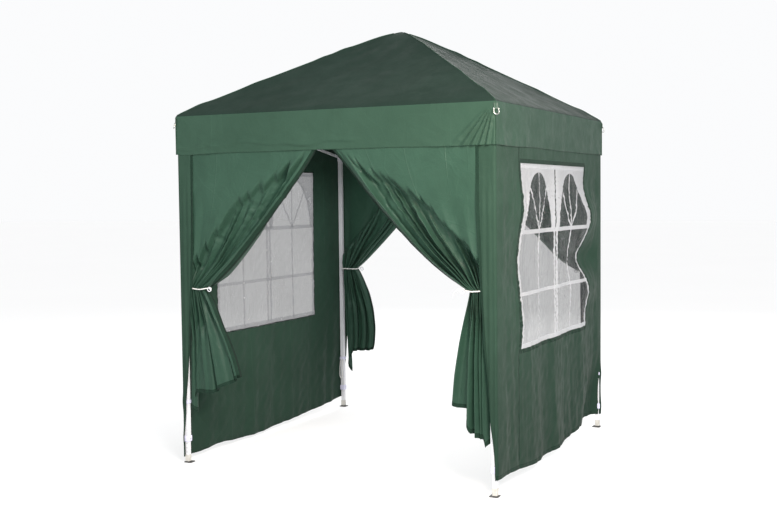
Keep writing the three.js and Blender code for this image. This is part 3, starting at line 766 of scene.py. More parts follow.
def merge(obj, distance=1e-5):
    """Joins vertices that lie on each other, such as the columns that two panels share."""
    bm = bmesh.new()
    bm.from_mesh(obj.data)
    bmesh.ops.remove_doubles(bm, verts=bm.verts, dist=distance)
    bm.to_mesh(obj.data)
    bm.free()
    obj.data.update()


# ---------------------------------------------------------------- side walls
# how far the strip round a leg reaches along the doorway, at each height
STRIP_EDGE = np.array([
    (0.03, 0.992), (0.14, 0.989), (0.385, 0.963), (0.75, 0.932), (1.08, 0.908), (1.5, 0.890), (2.04, 0.884),
])
# height of each wall's hem along the wall
HEM_LINE = {
    "right": np.array([
        (-1.0, 0.092), (-0.90, 0.088), (-0.68, 0.077), (-0.46, 0.057), (-0.31, 0.052), (-0.10, 0.055),
        (0.11, 0.060), (0.25, 0.070), (0.38, 0.080), (0.50, 0.092), (0.60, 0.090), (0.72, 0.094),
        (0.90, 0.091), (1.0, 0.088),
    ]),
    "left": np.array([
        (-1.0, 0.036), (-0.83, 0.036), (-0.72, 0.044), (-0.60, 0.048), (-0.50, 0.036), (-0.39, 0.030),
        (-0.20, 0.026), (0.0, 0.030), (0.20, 0.038), (0.40, 0.046), (0.58, 0.056), (0.80, 0.066),
        (1.0, 0.076),
    ]),
}
WALL_TOP = 2.034
BEND = 0.011              # radius of the cloth round a leg
NEAR_LEG = 0.965          # walls keep their folds between here and the leg
FILM_LIFT = -0.0019       # the film lies behind the wall's cloth, and the print between the two
PRINT_LIFT = -0.0002


def wall_depth(side, y, z):
    """How far the cloth of a side wall stands out (+) or in (-) from its flat plane."""
    free = smooth(1.84 - z, 0.0, 0.3) * smooth(0.975 - np.abs(y), 0.0, 0.13)
    hem = smooth(1.2 - z, 0.0, 1.1)
    seed, start = (100, 0) if side == "right" else (200, 2)
    slant = y + 0.05 * np.sin(z * 1.9 + start)
    folds = 0.0075 * np.sin(2 * math.pi * (slant * 1.7 + 0.2 * np.sin(2.1 * y)) + 0.6)
    folds = folds + 0.0065 * ripple(seed, slant, z * 0.10, 0.10, 0.45)
    folds = folds + 0.0010 * ripple(seed + 5, slant, z * 0.06, 0.035, 0.09)
    total = free * folds * (0.55 + 0.5 * hem)
    total = total + free * 0.0022 * ripple(seed + 1, y, z, 0.05, 0.18)
    near = smooth(-z, -1.0, -0.3) * bell(np.abs(y), 0.86, 0.05) * 0.008
    total = total + near * np.sin(z * 7 + y)
    # puckers square to the window's sewn edge
    (y0, y1), (z0, z1) = WINDOW["y"], WINDOW["z"]
    off = np.hypot(np.maximum(np.maximum(y0 - y, y - y1), 0), np.maximum(np.maximum(z0 - z, z - z1), 0))
    pucker = 0.0024 * ripple(seed + 2, y, z, 0.02, 0.045) * bell(off, 0.0, 0.035)
    total = total + pucker * free
    if side == "right":
        buckle = 0.040 * bell(z, 1.43, 0.12) - 0.056 * bell(z, 1.17, 0.10) + 0.030 * bell(z, 0.97, 0.10)
        buckle = buckle - 0.012 * bell(z, 1.62, 0.10)
        total = total + buckle * bell(y, 0.62, 0.30) * smooth(0.97 - y, 0, 0.2)
        lean = 0.020 * bell(z, 1.52, 0.12) - 0.018 * bell(z, 1.20, 0.14) + 0.010 * bell(z, 0.86, 0.1)
        total = total + lean * bell(y, -0.60, 0.22) * smooth(y + 0.96, 0, 0.2)
        # the far bottom corner is turned in along a slanting crease
        turned = (y - 0.60) + (0.42 - z) * 0.62
        turned = smooth(turned, 0.04, 0.36) * smooth(0.60 - z, 0, 0.45) * smooth(0.985 - y, 0, 0.06)
        total = total - 0.055 * turned
    else:
        total = total - 0.018 * bell(y, 0.1, 0.5) * smooth(-z, -0.7, -0.05)
        low = smooth(-z, -0.6, -0.05) * smooth(0.97 - np.abs(y), 0, 0.2)
        total = total + 0.010 * np.sin(y * 5.2 + 1.1) * low
    return total


def wall_surface(side, y, z, lift=0.0):
    """Points on a side wall's cloth at y and z, lifted outward."""
    sign = 1 if side == "right" else -1
    depth = wall_depth(side, y, z) + lift
    return np.stack([sign * (SHEET + depth), y, z], -1)


def over_collar(z):
    """The cloth stands out a little more where it passes a leg's collars."""
    return 0.0042 * (bell(z, 0.365, 0.045) + bell(z, 0.145, 0.05))


def wall_grid(side):
    """Points of a side wall from strip to strip, and how far along the flat cloth each one is."""
    sign = 1 if side == "right" else -1
    (y0, y1), (z0, z1) = WINDOW["y"], WINDOW["z"]
    rows = np.concatenate([
        np.linspace(WALL_TOP, z1, 22), np.linspace(z1, z0, 75)[1:], np.linspace(z0, 0.0, 56)[1:],
    ])
    edge = SHEET - BEND

    def cut(y):
        """Row heights for each column: the foot rows follow the hem."""
        hem = np.interp(y, HEM_LINE[side][:, 0], HEM_LINE[side][:, 1])
        z = np.repeat(rows[:, None], np.size(y), axis=1)
        return np.where(z < z0, hem + (z0 - hem) * z / z0, z)

    def strip(end):
        """The strip beside the leg, from its free edge to the leg."""
        z = cut(np.full(12, -1.0))
        inner = np.interp(z, STRIP_EDGE[:, 0], STRIP_EDGE[:, 1])
        x = inner + (edge - inner) * np.linspace(0, 1, 12)
        turn = 2 * math.pi * (SHEET - x) / 0.034 + 0.8 + 0.5 * np.sin(2 * z)
        wave = 0.0036 * np.sin(turn) * smooth(1.8 - z, 0, 0.3)
        wave = wave + 0.0012 * ripple(300 if end < 0 else 310, x, z * 0.2, 0.03, 0.1)
        wave = np.maximum(wave + 0.0015, -0.0002) * smooth(1.85 - z, 0, 0.1) + over_collar(z)
        points = np.stack([sign * x, end * (SHEET + wave), z], -1)
        return points, end * (edge + BEND * 1.57 + np.abs(x - edge))

    def bend(end):
        """The cloth round the leg, from the strip to the wall."""
        a = np.linspace(0, math.pi / 2, 6)[1:-1]
        z = cut(np.full(len(a), float(end)))
        r = BEND + over_collar(z)
        points = np.stack([sign * (edge + r * np.sin(a)), end * (edge + r * np.cos(a)), z], -1)
        return points, end * (edge + BEND * (math.pi / 2 - a)) + 0 * z

    columns = [np.linspace(-edge, y0, 30), np.linspace(y0, y1, 92)[1:], np.linspace(y1, edge, 30)[1:]]
    columns = np.concatenate(columns)
    z = cut(columns)
    y = columns + 0 * z
    main = wall_surface(side, y, z)
    main[..., 0] += sign * over_collar(z) * smooth(np.abs(y), 0.9, 0.96)
    parts = [strip(-1), bend(-1), (main, y)]
    parts += [(points[:, ::-1], along[:, ::-1]) for points, along in (bend(1), strip(1))]
    return [np.concatenate(part, axis=1) for part in zip(*parts)]


def wall_band(build, side, points, width, lift):
    """Adds to build a flat band on a side wall, along points (y, z)."""
    y, z = points.T
    ahead = np.gradient(points, axis=0)
    ahead /= np.linalg.norm(ahead, axis=1)[:, None]
    w = np.linspace(-width / 2, width / 2, 4)
    surface = wall_surface(side, y[:, None] - ahead[:, 1:] * w, z[:, None] + ahead[:, :1] * w, lift)
    build.grid(surface, pair(run_along(points)[:, None], w), flip=side == "right")


def window_sides(grow):
    """The window's four sides, each a pair of corners (y, z), with the window grown by grow."""
    (y0, y1), (z0, z1) = WINDOW["y"], WINDOW["z"]
    y0, y1, z0, z1 = y0 - grow, y1 + grow, z0 - grow, z1 + grow
    corners = np.array([(y0, z0), (y1, z0), (y1, z1), (y0, z1)])
    return zip(corners, np.roll(corners, -1, axis=0))


def window_print(side):
    """The white lattice printed on the film: a border, and two arches with rays and bars."""
    (y0, y1), (z0, z1) = WINDOW["y"], WINDOW["z"]
    ink = Build()
    ink_lift = PRINT_LIFT

    def line(points, width):
        """Each line is printed a little over the last one."""
        nonlocal ink_lift
        points = np.array(points, float)
        run = run_along(points)
        steps = np.linspace(0, run[-1], max(8, int(run[-1] / 0.012)))
        fine = pair(np.interp(steps, run, points[:, 0]), np.interp(steps, run, points[:, 1]))
        wall_band(ink, side, fine, width, ink_lift)
        ink_lift += 0.00004

    border = 0.028
    middle = (y0 + y1) / 2
    for a, b in window_sides(0):
        inset = np.sign((middle, (z0 + z1) / 2) - (a + b) / 2) * border / 2
        line([a + inset, b + inset], border)
    for seam in (-0.019, 0.019):
        line([(middle + seam, z0), (middle + seam, z1)], 0.024)
    spring, crown = 1.37, 1.71      # heights of an arch's foot and top
    rise = crown - spring
    quarter = (y1 - y0) / 4
    reach = quarter - 0.052
    for centre in (middle - quarter, middle + quarter):
        a = np.linspace(0, math.pi, 40)
        line(pair(centre + reach * np.cos(a), spring + rise * np.sin(a)), 0.018)
        # white corners over the arch
        y = np.linspace(centre - quarter + 0.020, centre + quarter - 0.020, 60)
        under = spring + rise * np.sqrt(np.clip(1 - ((y - centre) / reach) ** 2, 0, 1))
        z = under + (z1 - 0.01 - under) * np.linspace(0, 1, 30)[:, None]
        y = y + 0 * z
        ink.grid(wall_surface(side, y, z, -0.00045), pair(y, z), flip=side == "right")
        for turn in (-0.75, 0.0, 0.75):
            tip = (centre + reach * math.sin(turn) * 0.97, spring + rise * math.cos(turn) * 0.97)
            line([(centre, spring), tip], 0.015)
        line([(centre, z0), (centre, spring)], 0.016)
    line([(y0, spring), (y1, spring)], 0.024)
    line([(y0, 1.03), (y1, 1.03)], 0.020)
    return ink.object(f"window_{side}_print", [PRINT])


def side_wall(side):
    away = side == "left"           # faces of the cloth are wound the other way round on this side
    (y0, y1), (z0, z1) = WINDOW["y"], WINDOW["z"]
    P, U = wall_grid(side)
    V = -P[..., 2]
    _, y_mid, z_mid = np.moveaxis((P[:-1, :-1] + P[1:, 1:]) / 2, -1, 0)
    hole = (y_mid > y0) & (y_mid < y1) & (z_mid > z0) & (z_mid < z1) & (np.abs(P[:-1, :-1, 0]) > 0.9)
    build, trim = Build(), Build()
    build.grid(P, pair(U, V), keep=~hole, flip=away)
    cloth = build.object(f"wall_{side}_cloth", [WALL], thickness=CLOTH)

    # hems round the foot and along the strips' edges, the window's sewn frame and a stitched seam
    n = normals(P)
    out = n * np.sign((n[..., :2] * P[..., :2]).sum(-1, keepdims=True) + 1e-9)
    trim.grid(P[-3:] + out[-3:] * LIFT, pair(U[-3:], V[-3:] - V[-2:-1]), flip=away)
    for cols in (slice(0, 3), slice(-3, None)):
        lifted = P[:, cols] + out[:, cols] * 0.0010
        trim.grid(lifted, pair(V[:, cols], U[:, cols] - U[:, cols].mean(1, keepdims=True)), flip=away)
    for a, b in window_sides(0.010):
        wall_band(trim, side, lerp(a, b, np.linspace(0, 1, 110)[:, None]), 0.024, HEM_LIFT)
    wall_band(trim, side, pair(-0.645, np.linspace(1.83, 0.12, 150)), 0.014, 0.0010)
    edges = trim.object(f"wall_{side}_hems", [HEM])

    film = Build()
    lap = 0.006
    y, z = np.meshgrid(np.linspace(y0 - lap, y1 + lap, 94), np.linspace(z1 + lap, z0 - lap, 78))
    film.grid(wall_surface(side, y, z, FILM_LIFT), pair(y, z), flip=away)
    pane = film.object(f"window_{side}_film", [FILM])
    lattice = window_print(side)

    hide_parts(f"wall_{side}")
    for piece, layer in ((cloth, 0.0), (edges, LIFT), (pane, FILM_LIFT), (lattice, PRINT_LIFT)):
        flatten_outward(piece, 0, SHEET + layer, room=WALL_ROOM, limit=NEAR_LEG)
        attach(piece, f"top_joint_{side}")
        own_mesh(piece)


# ---------------------------------------------------------------- doors
# One row per curtain. tie: x of the inner and outer side of the gathered bundle, and its height.
# foot: (share of the width from the leg, x, z) along the lower edge. sag: how much the free edge
# hangs through. bundles: number of pleats. belly, tail_out: how far the cloth stands out above and
# below the tie. round: how far the tail swells. pouch: a pouch's share of the width, height and depth.
CURTAINS = {
    "front_right": {
        "top_inner": 0.012, "tie": (0.838, 0.925, 1.078), "sag": 1.42, "seed": 1, "bundles": 9.3,
        "foot": [(0.0, 0.940, 0.275), (0.07, 0.930, 0.255), (0.10, 0.925, 0.300), (0.45, 0.900, 0.300),
                 (0.70, 0.850, 0.325), (0.76, 0.815, 0.455), (0.88, 0.770, 0.455), (1.0, 0.733, 0.485)],
        "belly": 0.010, "tail_out": 0.012, "round": 0.0, "pouch": (0.84, 0.34, 0.014),
    },
    "front_left": {
        "top_inner": 0.030, "tie": (0.838, 0.940, 1.045), "sag": 1.16, "seed": 2, "bundles": 9.6,
        "foot": [(0.0, 0.940, 0.34), (0.10, 0.930, 0.30), (0.16, 0.905, 0.425), (0.42, 0.870, 0.428),
                 (0.62, 0.790, 0.430), (0.82, 0.690, 0.480), (0.93, 0.625, 0.515), (1.0, 0.596, 0.534)],
        "belly": 0.012, "tail_out": 0.016, "round": 0.0, "pouch": (0.84, 0.50, 0.050),
    },
    "back_left": {
        "top_inner": 0.010, "tie": (0.845, 0.945, 1.045), "sag": 1.10, "seed": 3, "bundles": 8.8,
        "foot": [(0.0, 0.930, 0.31), (0.10, 0.890, 0.268), (0.20, 0.925, 0.330), (0.26, 0.895, 0.420),
                 (0.55, 0.850, 0.428), (0.80, 0.780, 0.432), (1.0, 0.727, 0.438)],
        "belly": 0.020, "tail_out": 0.010, "round": 0.055, "pouch": (0.80, 0.45, 0.012),
    },
    "back_right": {
        "top_inner": 0.010, "tie": (0.868, 0.945, 1.060), "sag": 1.22, "seed": 4, "bundles": 9.1,
        "foot": [(0.0, 0.950, 0.33), (0.12, 0.950, 0.31), (0.20, 0.945, 0.33), (0.50, 0.925, 0.36),
                 (0.80, 0.895, 0.43), (1.0, 0.872, 0.47)],
        "belly": 0.014, "tail_out": 0.045, "round": 0.0, "pouch": (0.78, 0.48, 0.020),
    },
}
# how far down (0 to 1 at the tie) the cloth stays flat, from the leg (0) to the free edge (1)
FLAT_TO = np.array([
    (0.0, 0.84), (0.15, 0.76), (0.37, 0.54), (0.46, 0.38), (0.72, 0.21), (0.9, 0.09), (1.0, 0.03),
])
CURTAIN_TOP = 1.885
CURTAIN_OUTER = 0.955     # x of the curtains' edge by the leg
BEHIND = 0.0012           # least depth behind the walls' strips and the valance
OUT_MOST = -0.05          # least depth elsewhere: how far cloth may stand out
TIE_WIDTH = 0.0066
STRAP_WIDTH = 0.0052
HEADER_FACE = 0.9945
HEADER_FOOT = 1.842


def curtain_grid(spec, u, v):
    """x (away from the tent's middle), depth (inward) and z of a curtain.
    u runs from the leg (0) to the free edge (1); v from the top (0) over the tie (1) to the foot (2)."""
    seed = spec["seed"]
    tie_in, tie_out, tie_z = spec["tie"]
    s, w = np.clip(v, 0, 1), np.clip(v - 1, 0, 1)
    top_x = lerp(CURTAIN_OUTER, spec["top_inner"], u)
    tie_x = lerp(tie_out, tie_in, u)

    # above the tie: threads hang straight near the leg, and slant near the free edge
    bend = lerp(2.4, 1.0, u ** 0.7)
    drop = lerp(1.0, spec["sag"], u ** 2)
    x = top_x + (tie_x - top_x) * s ** bend
    z = CURTAIN_TOP - (CURTAIN_TOP - tie_z) * (1 - (1 - s) ** drop)
    phase = spec["bundles"] * (u + 0.030 * np.sin(14.5 * u + seed * GOLDEN) + 0.013 * np.sin(33 * u + seed))
    phase = phase + seed * 0.37
    fine = pleat(phase)
    broad = pleat(phase * 0.47 + 0.2)
    start = np.interp(u, FLAT_TO[:, 0], FLAT_TO[:, 1])
    start = start + 0.05 * (np.abs(ripple(540 + seed, u, 0 * u, 0.06, 0.22)) - 0.4)
    gather = np.clip((s - start) / (1 - start), 0, 1)
    above_tie = smooth(1 - s, -0.02, 0.10)
    uneven = 1 + 0.40 * np.sin(2 * math.pi * 0.31 * phase + 1.7 * seed)
    gathered = 0.074 * uneven * gather ** lerp(0.9, 0.55, u) * above_tie + 0.056 * (1 - above_tie)
    recess = 0.046 * smooth(s - start, 0.0, 0.08) * (1 - smooth(u, 0.86, 0.98)) * (1 - smooth(s, 0.78, 1.0))
    depth_up = recess + gathered * fine + 0.012 * broad * smooth(s, 0.25, 0.7) * (1 - smooth(s, 0.85, 1.0))
    # across the threads the pleats lean over each other
    lean = 0.020 * gather * np.sin(2 * math.pi * phase + 0.9) * (1 - 0.5 * smooth(s, 0.85, 1.0))
    # free edge: the hem is folded back, out and then in
    fold_back = smooth(s, 0.02, 0.2) * (1 - smooth(s, 0.75, 1.0))
    depth_up = depth_up - 0.016 * bell(u, 0.90, 0.035) * fold_back + 0.014 * bell(u, 1.0, 0.035) * fold_back
    depth_up = depth_up - spec["belly"] * bell(u, 0.72, 0.16) * bell(s, 0.66, 0.2)
    depth_up = depth_up + 0.0022 * ripple(500 + seed, x * 2.2, z * 0.5, 0.25, 0.9) * smooth(s, 0.03, 0.2)
    turning = smooth(gather, 0.0, 0.12) * (1 - smooth(gather, 0.35, 0.8))
    crumple = np.abs(ripple(520 + seed, x, z, 0.05, 0.22, 12)) - 0.5
    depth_up = depth_up + 0.011 * crumple * turning * smooth(s, 0.12, 0.3)
    at_u, at_s, size = spec["pouch"]
    lip = smooth(s, at_s - 0.035, at_s + 0.02) * (1 - smooth(s, 0.86, 1.0))
    depth_up = depth_up + lip * size * (bell(u, at_u + 0.075, 0.028) - 0.8 * bell(u, at_u, 0.04))
    x_up = x + lean * 0.72
    z_up = z + lean * 0.60 * u

    # below the tie: the tail opens into a few deep folds
    foot = np.array(spec["foot"])
    foot_x, foot_z = np.interp(u, foot[:, 0], foot[:, 1]), np.interp(u, foot[:, 0], foot[:, 2])
    swell = spec["round"] * np.sin(math.pi * w) ** 0.8 * u
    spread = 1 - (1 - w) ** 1.25
    loose = pleat(phase * 0.52 + 0.15 + 0.25 * seed)
    mix = smooth(w, 0.05, 0.55)
    size = lerp(0.056, 0.052, w) * (1 - 0.12 * np.sin(5 * w + seed))
    depth_tail = size * lerp(fine, loose, 0.62 * mix)
    depth_tail = depth_tail - spec["tail_out"] * smooth(w, 0.1, 0.7) * bell(u, 0.62, 0.3)
    depth_tail = depth_tail + 0.004 * ripple(600 + seed, u * 1.2, w * 0.6, 0.12, 0.6) * smooth(w, 0.05, 0.3)
    x_tail = lerp(tie_x, foot_x, spread) + lean * (1 - smooth(w, 0.0, 0.35)) * 0.72 - swell
    x_tail = x_tail + 0.012 * np.sin(2 * math.pi * (phase * 0.52) + 0.6) * mix
    z_tail = lerp(tie_z, foot_z, w) + lean * 0.60 * u * (1 - smooth(w, 0, 0.2))

    below = v > 1
    x = np.where(below, x_tail, x_up)
    z = np.where(below, z_tail, z_up)
    depth = np.where(below, depth_tail, depth_up)
    depth = depth + 0.006 * smooth(v, 0.55, 0.95) * smooth(x, 0.80, 0.88)
    # stay clear of the leg and behind the strip round it
    x = np.minimum(x, CURTAIN_OUTER)
    behind_strip = smooth(x, 0.86, 0.90) * smooth(v, 0.02, 0.1)
    behind_valance = smooth(z, VALANCE_Z - 0.06, VALANCE_Z + 0.01)
    return x, np.maximum(depth, lerp(OUT_MOST, BEHIND, np.maximum(behind_strip, behind_valance))), z


def curtain(corner):
    spec = CURTAINS[corner]
    sx, sy = CORNERS[corner]
    end = "front" if sy < 0 else "back"
    u = np.linspace(0, 1, 150)
    v = [np.linspace(0, 0.82, 62), np.linspace(0.82, 1.12, 34)[1:], np.linspace(1.12, 2, 52)[1:]]
    v, u = np.meshgrid(np.concatenate(v), u, indexing="ij")
    x, depth, z = curtain_grid(spec, u, v)
    P = np.stack([sx * x, sy * (CURTAIN_FACE - depth), z], -1)
    flat_w, flat_l = CURTAIN_OUTER + 0.02, CURTAIN_TOP - 0.135
    turned = sx * sy > 0
    build, trim = Build(), Build()
    build.grid(P, pair(u * flat_w, v / 2 * flat_l), flip=turned)
    cloth = build.object(f"curtain_{corner}_cloth", [CURTAIN], thickness=CLOTH)
    n = normals(P) * (-1 if turned else 1)
    # hems on both faces, down the free edge and along the foot
    for lift in (HEM_LIFT, -HEM_LIFT):
        face = P + n * lift
        trim.grid(face[:, -4:], pair(v[:, -4:] * flat_l / 2, (u[:, -4:] - 0.99) * flat_w), flip=turned)
        trim.grid(face[-3:], pair(u[-3:] * flat_w, (v[-3:] - v[-2:-1]) * 0.9), flip=turned)
    # half of the zip, beyond the free edge
    edge = P[3:, -1]
    beyond = edge - P[3:, -2]
    beyond /= np.linalg.norm(beyond, axis=1)[:, None]
    tape = np.stack([edge - beyond * 0.001, edge + beyond * 0.006, edge + beyond * 0.010], 1)
    trim.grid(tape, pair(run_along(edge)[:, None], np.array([-0.004, 0.0, 0.004])), slot=1)
    edges = trim.object(f"curtain_{corner}_hems", [HEM, ZIP])
    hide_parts(f"door_{end}")
    for piece in (cloth, edges):
        ride_door(piece, end)


def ride_door(piece, end):
    """A door's cloth moves with its upper edge joint, and folds flat between the legs."""
    flatten_outward(piece, 1, CURTAIN_FACE - DOOR_ROOM)
    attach(piece, f"top_joint_{end}")
    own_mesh(piece)


def header(end):
    """The strip of cloth that the two curtains of a door hang from."""
    sy = -1 if end == "front" else 1
    x = np.linspace(-CURTAIN_OUTER, CURTAIN_OUTER, 120)
    x, z = np.meshgrid(x, np.linspace(WALL_TOP, HEADER_FOOT, 16))
    depth = 0.0012 * ripple(700 if sy < 0 else 710, x, z, 0.06, 0.4) * smooth(WALL_TOP - z, 0, 0.1)
    P = np.stack([x, sy * (HEADER_FACE - CLOTH - depth), z], -1)
    build, trim = Build(), Build()
    build.grid(P, pair(x, z), flip=sy > 0)
    cloth = build.object(f"door_{end}_header", [WALL], thickness=CLOTH)
    trim.grid(P[-3:] + np.array([0, -sy, 0]) * LIFT, pair(x[-3:], z[-3:] - z[-2:-1]), flip=sy < 0)
    edges = trim.object(f"door_{end}_header_hem", [HEM])
    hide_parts(f"door_{end}")
    for piece in (cloth, edges):
        ride_door(piece, end)


def tie(corner):
    """Elastic tie round a gathered curtain, with a small ring as its toggle."""
    sx, sy = CORNERS[corner]
    end = "front" if sy < 0 else "back"
    tie_in, _, tie_z = CURTAINS[corner]["tie"]
    left = tie_in - 0.020
    # (share of the way from the leg to the bundle's inner side, depth, height)
    loop = [
        (0.00, 0.0120, 0.006), (0.06, 0.0062, 0.005), (0.20, 0.0032, 0.002), (0.37, 0.0024, 0.000),
        (0.52, 0.0006, -0.002), (0.66, -0.0032, -0.003), (0.80, -0.0044, -0.002), (0.94, -0.0012, 0.001),
        (1.01, 0.0080, 0.003), (1.03, 0.0220, 0.003), (1.03, 0.0440, 0.000), (0.99, 0.0620, -0.001),
        (0.89, 0.0720, -0.002), (0.62, 0.0765, -0.002), (0.37, 0.0760, -0.001), (0.15, 0.0740, 0.000),
        (0.03, 0.0660, 0.001), (-0.01, 0.0550, 0.002),
    ]
    points = np.array([(sx * lerp(0.956, left, x), sy * (CURTAIN_FACE - d), tie_z + dz) for x, d, dz in loop])
    path = curve_through(points, 60)
    build = Build()
    build.tube(path, TIE_WIDTH / 2, 12, flat=0.7)
    band = build.object(f"tie_{corner}", [WHITE_BAND])
    ring = Build()
    centre = np.array((sx * (left - 0.017), sy * (CURTAIN_FACE - 0.016), tie_z - 0.003))
    radius, wire = 0.0120, 0.0026
    cross = np.linspace(0, 2 * math.pi, 9)[:-1, None]
    rings = []
    for t in np.linspace(0, 2 * math.pi, 25)[:-1]:
        out = np.array([math.cos(t), 0, math.sin(t)])
        rings.append(centre + out * radius + wire * (np.cos(cross) * out + np.sin(cross) * (0, 1, 0)))
    ring.closed(np.array(rings + rings[:1]), caps=False)
    # the tie's loose end, past the ring
    tail = [(0.004, 0.000, 0.006), (-0.012, -0.006, 0.009), (-0.030, -0.008, 0.004), (-0.046, -0.006, -0.012),
            (-0.054, -0.004, -0.030)]
    reach = 1.0 if corner == "front_right" else 0.25
    loose = curve_through([centre + np.array((sx * x, sy * -d, z)) * reach for x, d, z in tail], 16)
    ring.tube(loose, 0.0026, 8, flat=0.8)
    toggle = ring.object(f"tie_ring_{corner}", [PLASTIC])
    merge(toggle)
    for piece in (band, toggle):
        ride_door(piece, end)


def curve_through(points, count):
    """A smooth curve through points, evenly spaced."""
    points = np.asarray(points, float)
    ends = np.vstack([2 * points[0] - points[1], points, 2 * points[-1] - points[-2]])
    fine = []
    for k in range(1, len(ends) - 2):
        p0, p1, p2, p3 = ends[k - 1:k + 3]
        for t in np.linspace(0, 1, 12, endpoint=False):
            fine.append(0.5 * (2 * p1 + (p2 - p0) * t + (2 * p0 - 5 * p1 + 4 * p2 - p3) * t ** 2
                               + (3 * p1 - p0 - 3 * p2 + p3) * t ** 3))
    fine.append(points[-1])
    fine = np.array(fine)
    run = run_along(fine)
    even = np.linspace(0, run[-1], count)
    return np.stack([np.interp(even, run, fine[:, k]) for k in range(3)], -1)


# ---------------------------------------------------------------- fittings
def collars(corner):
    """Lower collar at the mouth of the upper leg with its spring button, and a second one higher up."""
    sx, sy = CORNERS[corner]
    centre = (sx * LEG, sy * LEG)
    build = Build()
    lower = [
        (0.0126, 0.127, 0.002), (0.016, 0.1262, 0.003), (0.0178, 0.1275, 0.0038), (0.0184, 0.13, 0.004),
        (0.0184, 0.158, 0.004), (0.0178, 0.1606, 0.0038), (0.0166, 0.1616, 0.003), (0.0142, 0.1616, 0.002),
        (0.0142, 0.15, 0.002), (0.0126, 0.149, 0.002),
    ]
    build.collar(centre, lower)
    upper = [
        (0.0142, 0.356, 0.002), (0.0165, 0.3552, 0.003), (0.018, 0.3566, 0.0038), (0.0182, 0.359, 0.004),
        (0.0182, 0.3715, 0.004), (0.0178, 0.3742, 0.0038), (0.0165, 0.3752, 0.003), (0.0142, 0.3745, 0.002),
    ]
    build.collar(centre, upper)
    # raised pad round the button
    inward, button_z = -sx, 0.144
    build.lathe((centre[0] + inward * 0.018, centre[1], button_z), (inward, 0, 0),
                [(0.0078, 0), (0.0078, 0.001), (0.007, 0.0018), (0.005, 0.0018), (0.0046, 0.0012)], 20)
    piece = build.object(f"collars_{corner}", [LAVENDER])
    crisp_edges(piece.data)
    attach(piece, f"leg_{corner}")
    button = Build()
    button.lathe((centre[0] + inward * 0.0186, centre[1], button_z), (inward, 0, 0),
                 [(0.004, 0), (0.004, 0.0016), (0.0034, 0.0028), (0.002, 0.0036), (0.0004, 0.0039)], 18)
    dome = button.object(f"spring_button_{corner}", [ZINC])
    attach(dome, f"leg_{corner}")


def crisp_edges(mesh, angle=math.radians(35)):
    """Keeps edges sharper than angle crisp in a smooth shaded mesh."""
    bm = bmesh.new()
    bm.from_mesh(mesh)
    for e in bm.edges:
        if len(e.link_faces) == 2 and e.calc_face_angle() > angle:
            e.smooth = False
    bm.to_mesh(mesh)
    bm.free()
    mesh.update()


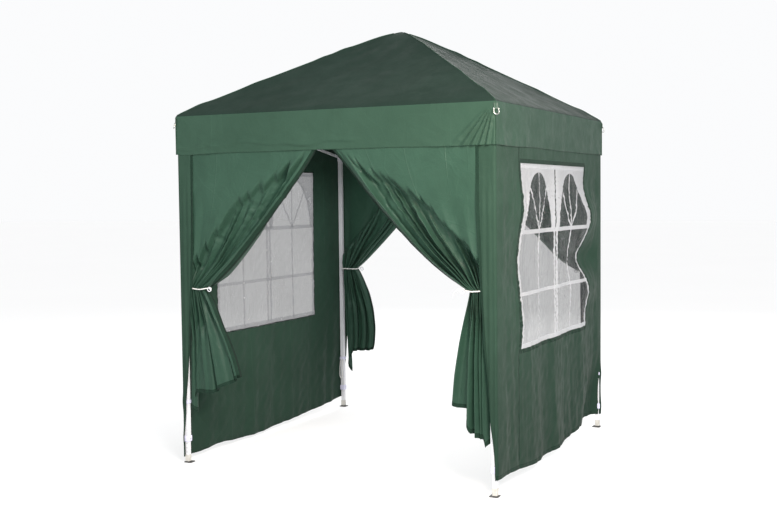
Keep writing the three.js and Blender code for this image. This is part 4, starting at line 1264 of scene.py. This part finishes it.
def d_ring(corner):
    """Guy-line ring on a folded webbing tab at a canopy corner, just under the eave."""
    sx, sy = CORNERS[corner]
    out = np.array([sx, sy, 0]) / math.sqrt(2)
    side = np.array([-sy, sx, 0]) / math.sqrt(2)
    down = np.array([0, 0, -1.0])
    base = np.array([sx * (HALF + 0.001), sy * (HALF + 0.001), 2.030])
    wire, half, long = 0.0022, 0.0145, 0.0165
    bar = base + out * 0.0045 + down * 0.012
    # once round: along the bar, down one arm, round the bow, and up the other arm
    to_bow = down * long + out * 0.004
    path = [bar + side * half * k for k in np.linspace(-1, 1, 7)]
    arm = np.linspace(0, 1, 5)[1:]
    path += [bar + side * half + to_bow * k for k in arm]
    path += [
        bar + to_bow + side * half * math.cos(a) + (down * half + out * 0.004) * math.sin(a)
        for a in np.linspace(0, math.pi, 14)[1:]
    ]
    path += [bar - side * half + to_bow * k for k in arm[::-1][1:]]
    path.append(bar - side * half + down * 0.001)
    build = Build()
    build.tube(np.array(path), wire, 10)
    ring = build.object(f"d_ring_{corner}", [ZINC])
    tab = Build()
    w = np.linspace(-0.011, 0.011, 6)
    # from the cloth over the bar and back; each point is (start, down, out)
    line = [
        (base, -0.016, 0.0010), (base, 0, 0.0014), (base, 0.008, 0.0016), (bar, -0.0004, 0.0032),
        (bar, 0.0034, 0.0008), (bar, 0.0020, -0.0026), (base, 0.006, -0.0002), (base, 0, 0),
        (base, -0.016, -0.0004),
    ]
    line = curve_through([start + down * d + out * o for start, d, o in line], 26)
    tab.grid(line[:, None, :] + side * w[None, :, None], pair(np.linspace(0, 0.07, len(line))[:, None], w))
    loop = tab.object(f"d_ring_tab_{corner}", [GREEN_WEBBING], thickness=0.0009)
    for piece, slot in ((ring, "frame_steel"), (loop, "canopy_cloth")):
        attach(piece, f"leg_{corner}")


def strap_loop():
    """White strap that hangs in a loop from the back left leg's upper collar."""
    # each point is (x, y, z) from the leg's front face
    points = [
        (-0.002, 0.006, 0.364), (-0.004, 0.001, 0.36), (-0.007, -0.002, 0.35), (-0.01, -0.004, 0.325),
        (-0.0125, -0.005, 0.295), (-0.013, -0.006, 0.265), (-0.0125, -0.006, 0.24), (-0.01, -0.006, 0.225),
        (-0.003, -0.006, 0.216), (0.004, -0.006, 0.222), (0.008, -0.006, 0.24), (0.009, -0.005, 0.27),
        (0.009, -0.004, 0.31), (0.009, -0.003, 0.34), (0.008, 0.001, 0.358), (0.006, 0.006, 0.364),
    ]
    points = np.array(points) + (-LEG, LEG - 0.0215, 0)
    path = curve_through(points, 64)
    build = Build()
    build.tube(path, STRAP_WIDTH / 2, 10)
    strap = build.object("strap_back_left", [WHITE_BAND])
    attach(strap, "leg_back_left")


def frame_finish():
    """Materials and eased edges for the CAD's own frame nodes."""
    for name, node in frame["nodes"].items():
        if name.startswith(("canopy", "wall_", "door_")):
            continue
        if name.startswith("foot_"):
            finish = FOOT
        elif name.startswith(("outer_leg", "inner_leg", "arm_bar", "edge_bar", "mast")):
            finish = STEEL
        else:
            finish = PLASTIC
        for place in node.material_slots:
            place.link = "OBJECT"
            place.material = finish
        eased = node.modifiers.new("eased_edges", "BEVEL")
        eased.width, eased.segments = 0.0005, 2
        eased.limit_method, eased.angle_limit = "ANGLE", math.radians(50)


camera_and_light()
for corner_name in CORNERS:
    tie(corner_name)
strap_loop()
canopy()
for wall in ("left", "right"):
    side_wall(wall)
for end_name in ("front", "back"):
    header(end_name)
for corner_name in CORNERS:
    curtain(corner_name)
    collars(corner_name)
    d_ring(corner_name)
frame_finish()
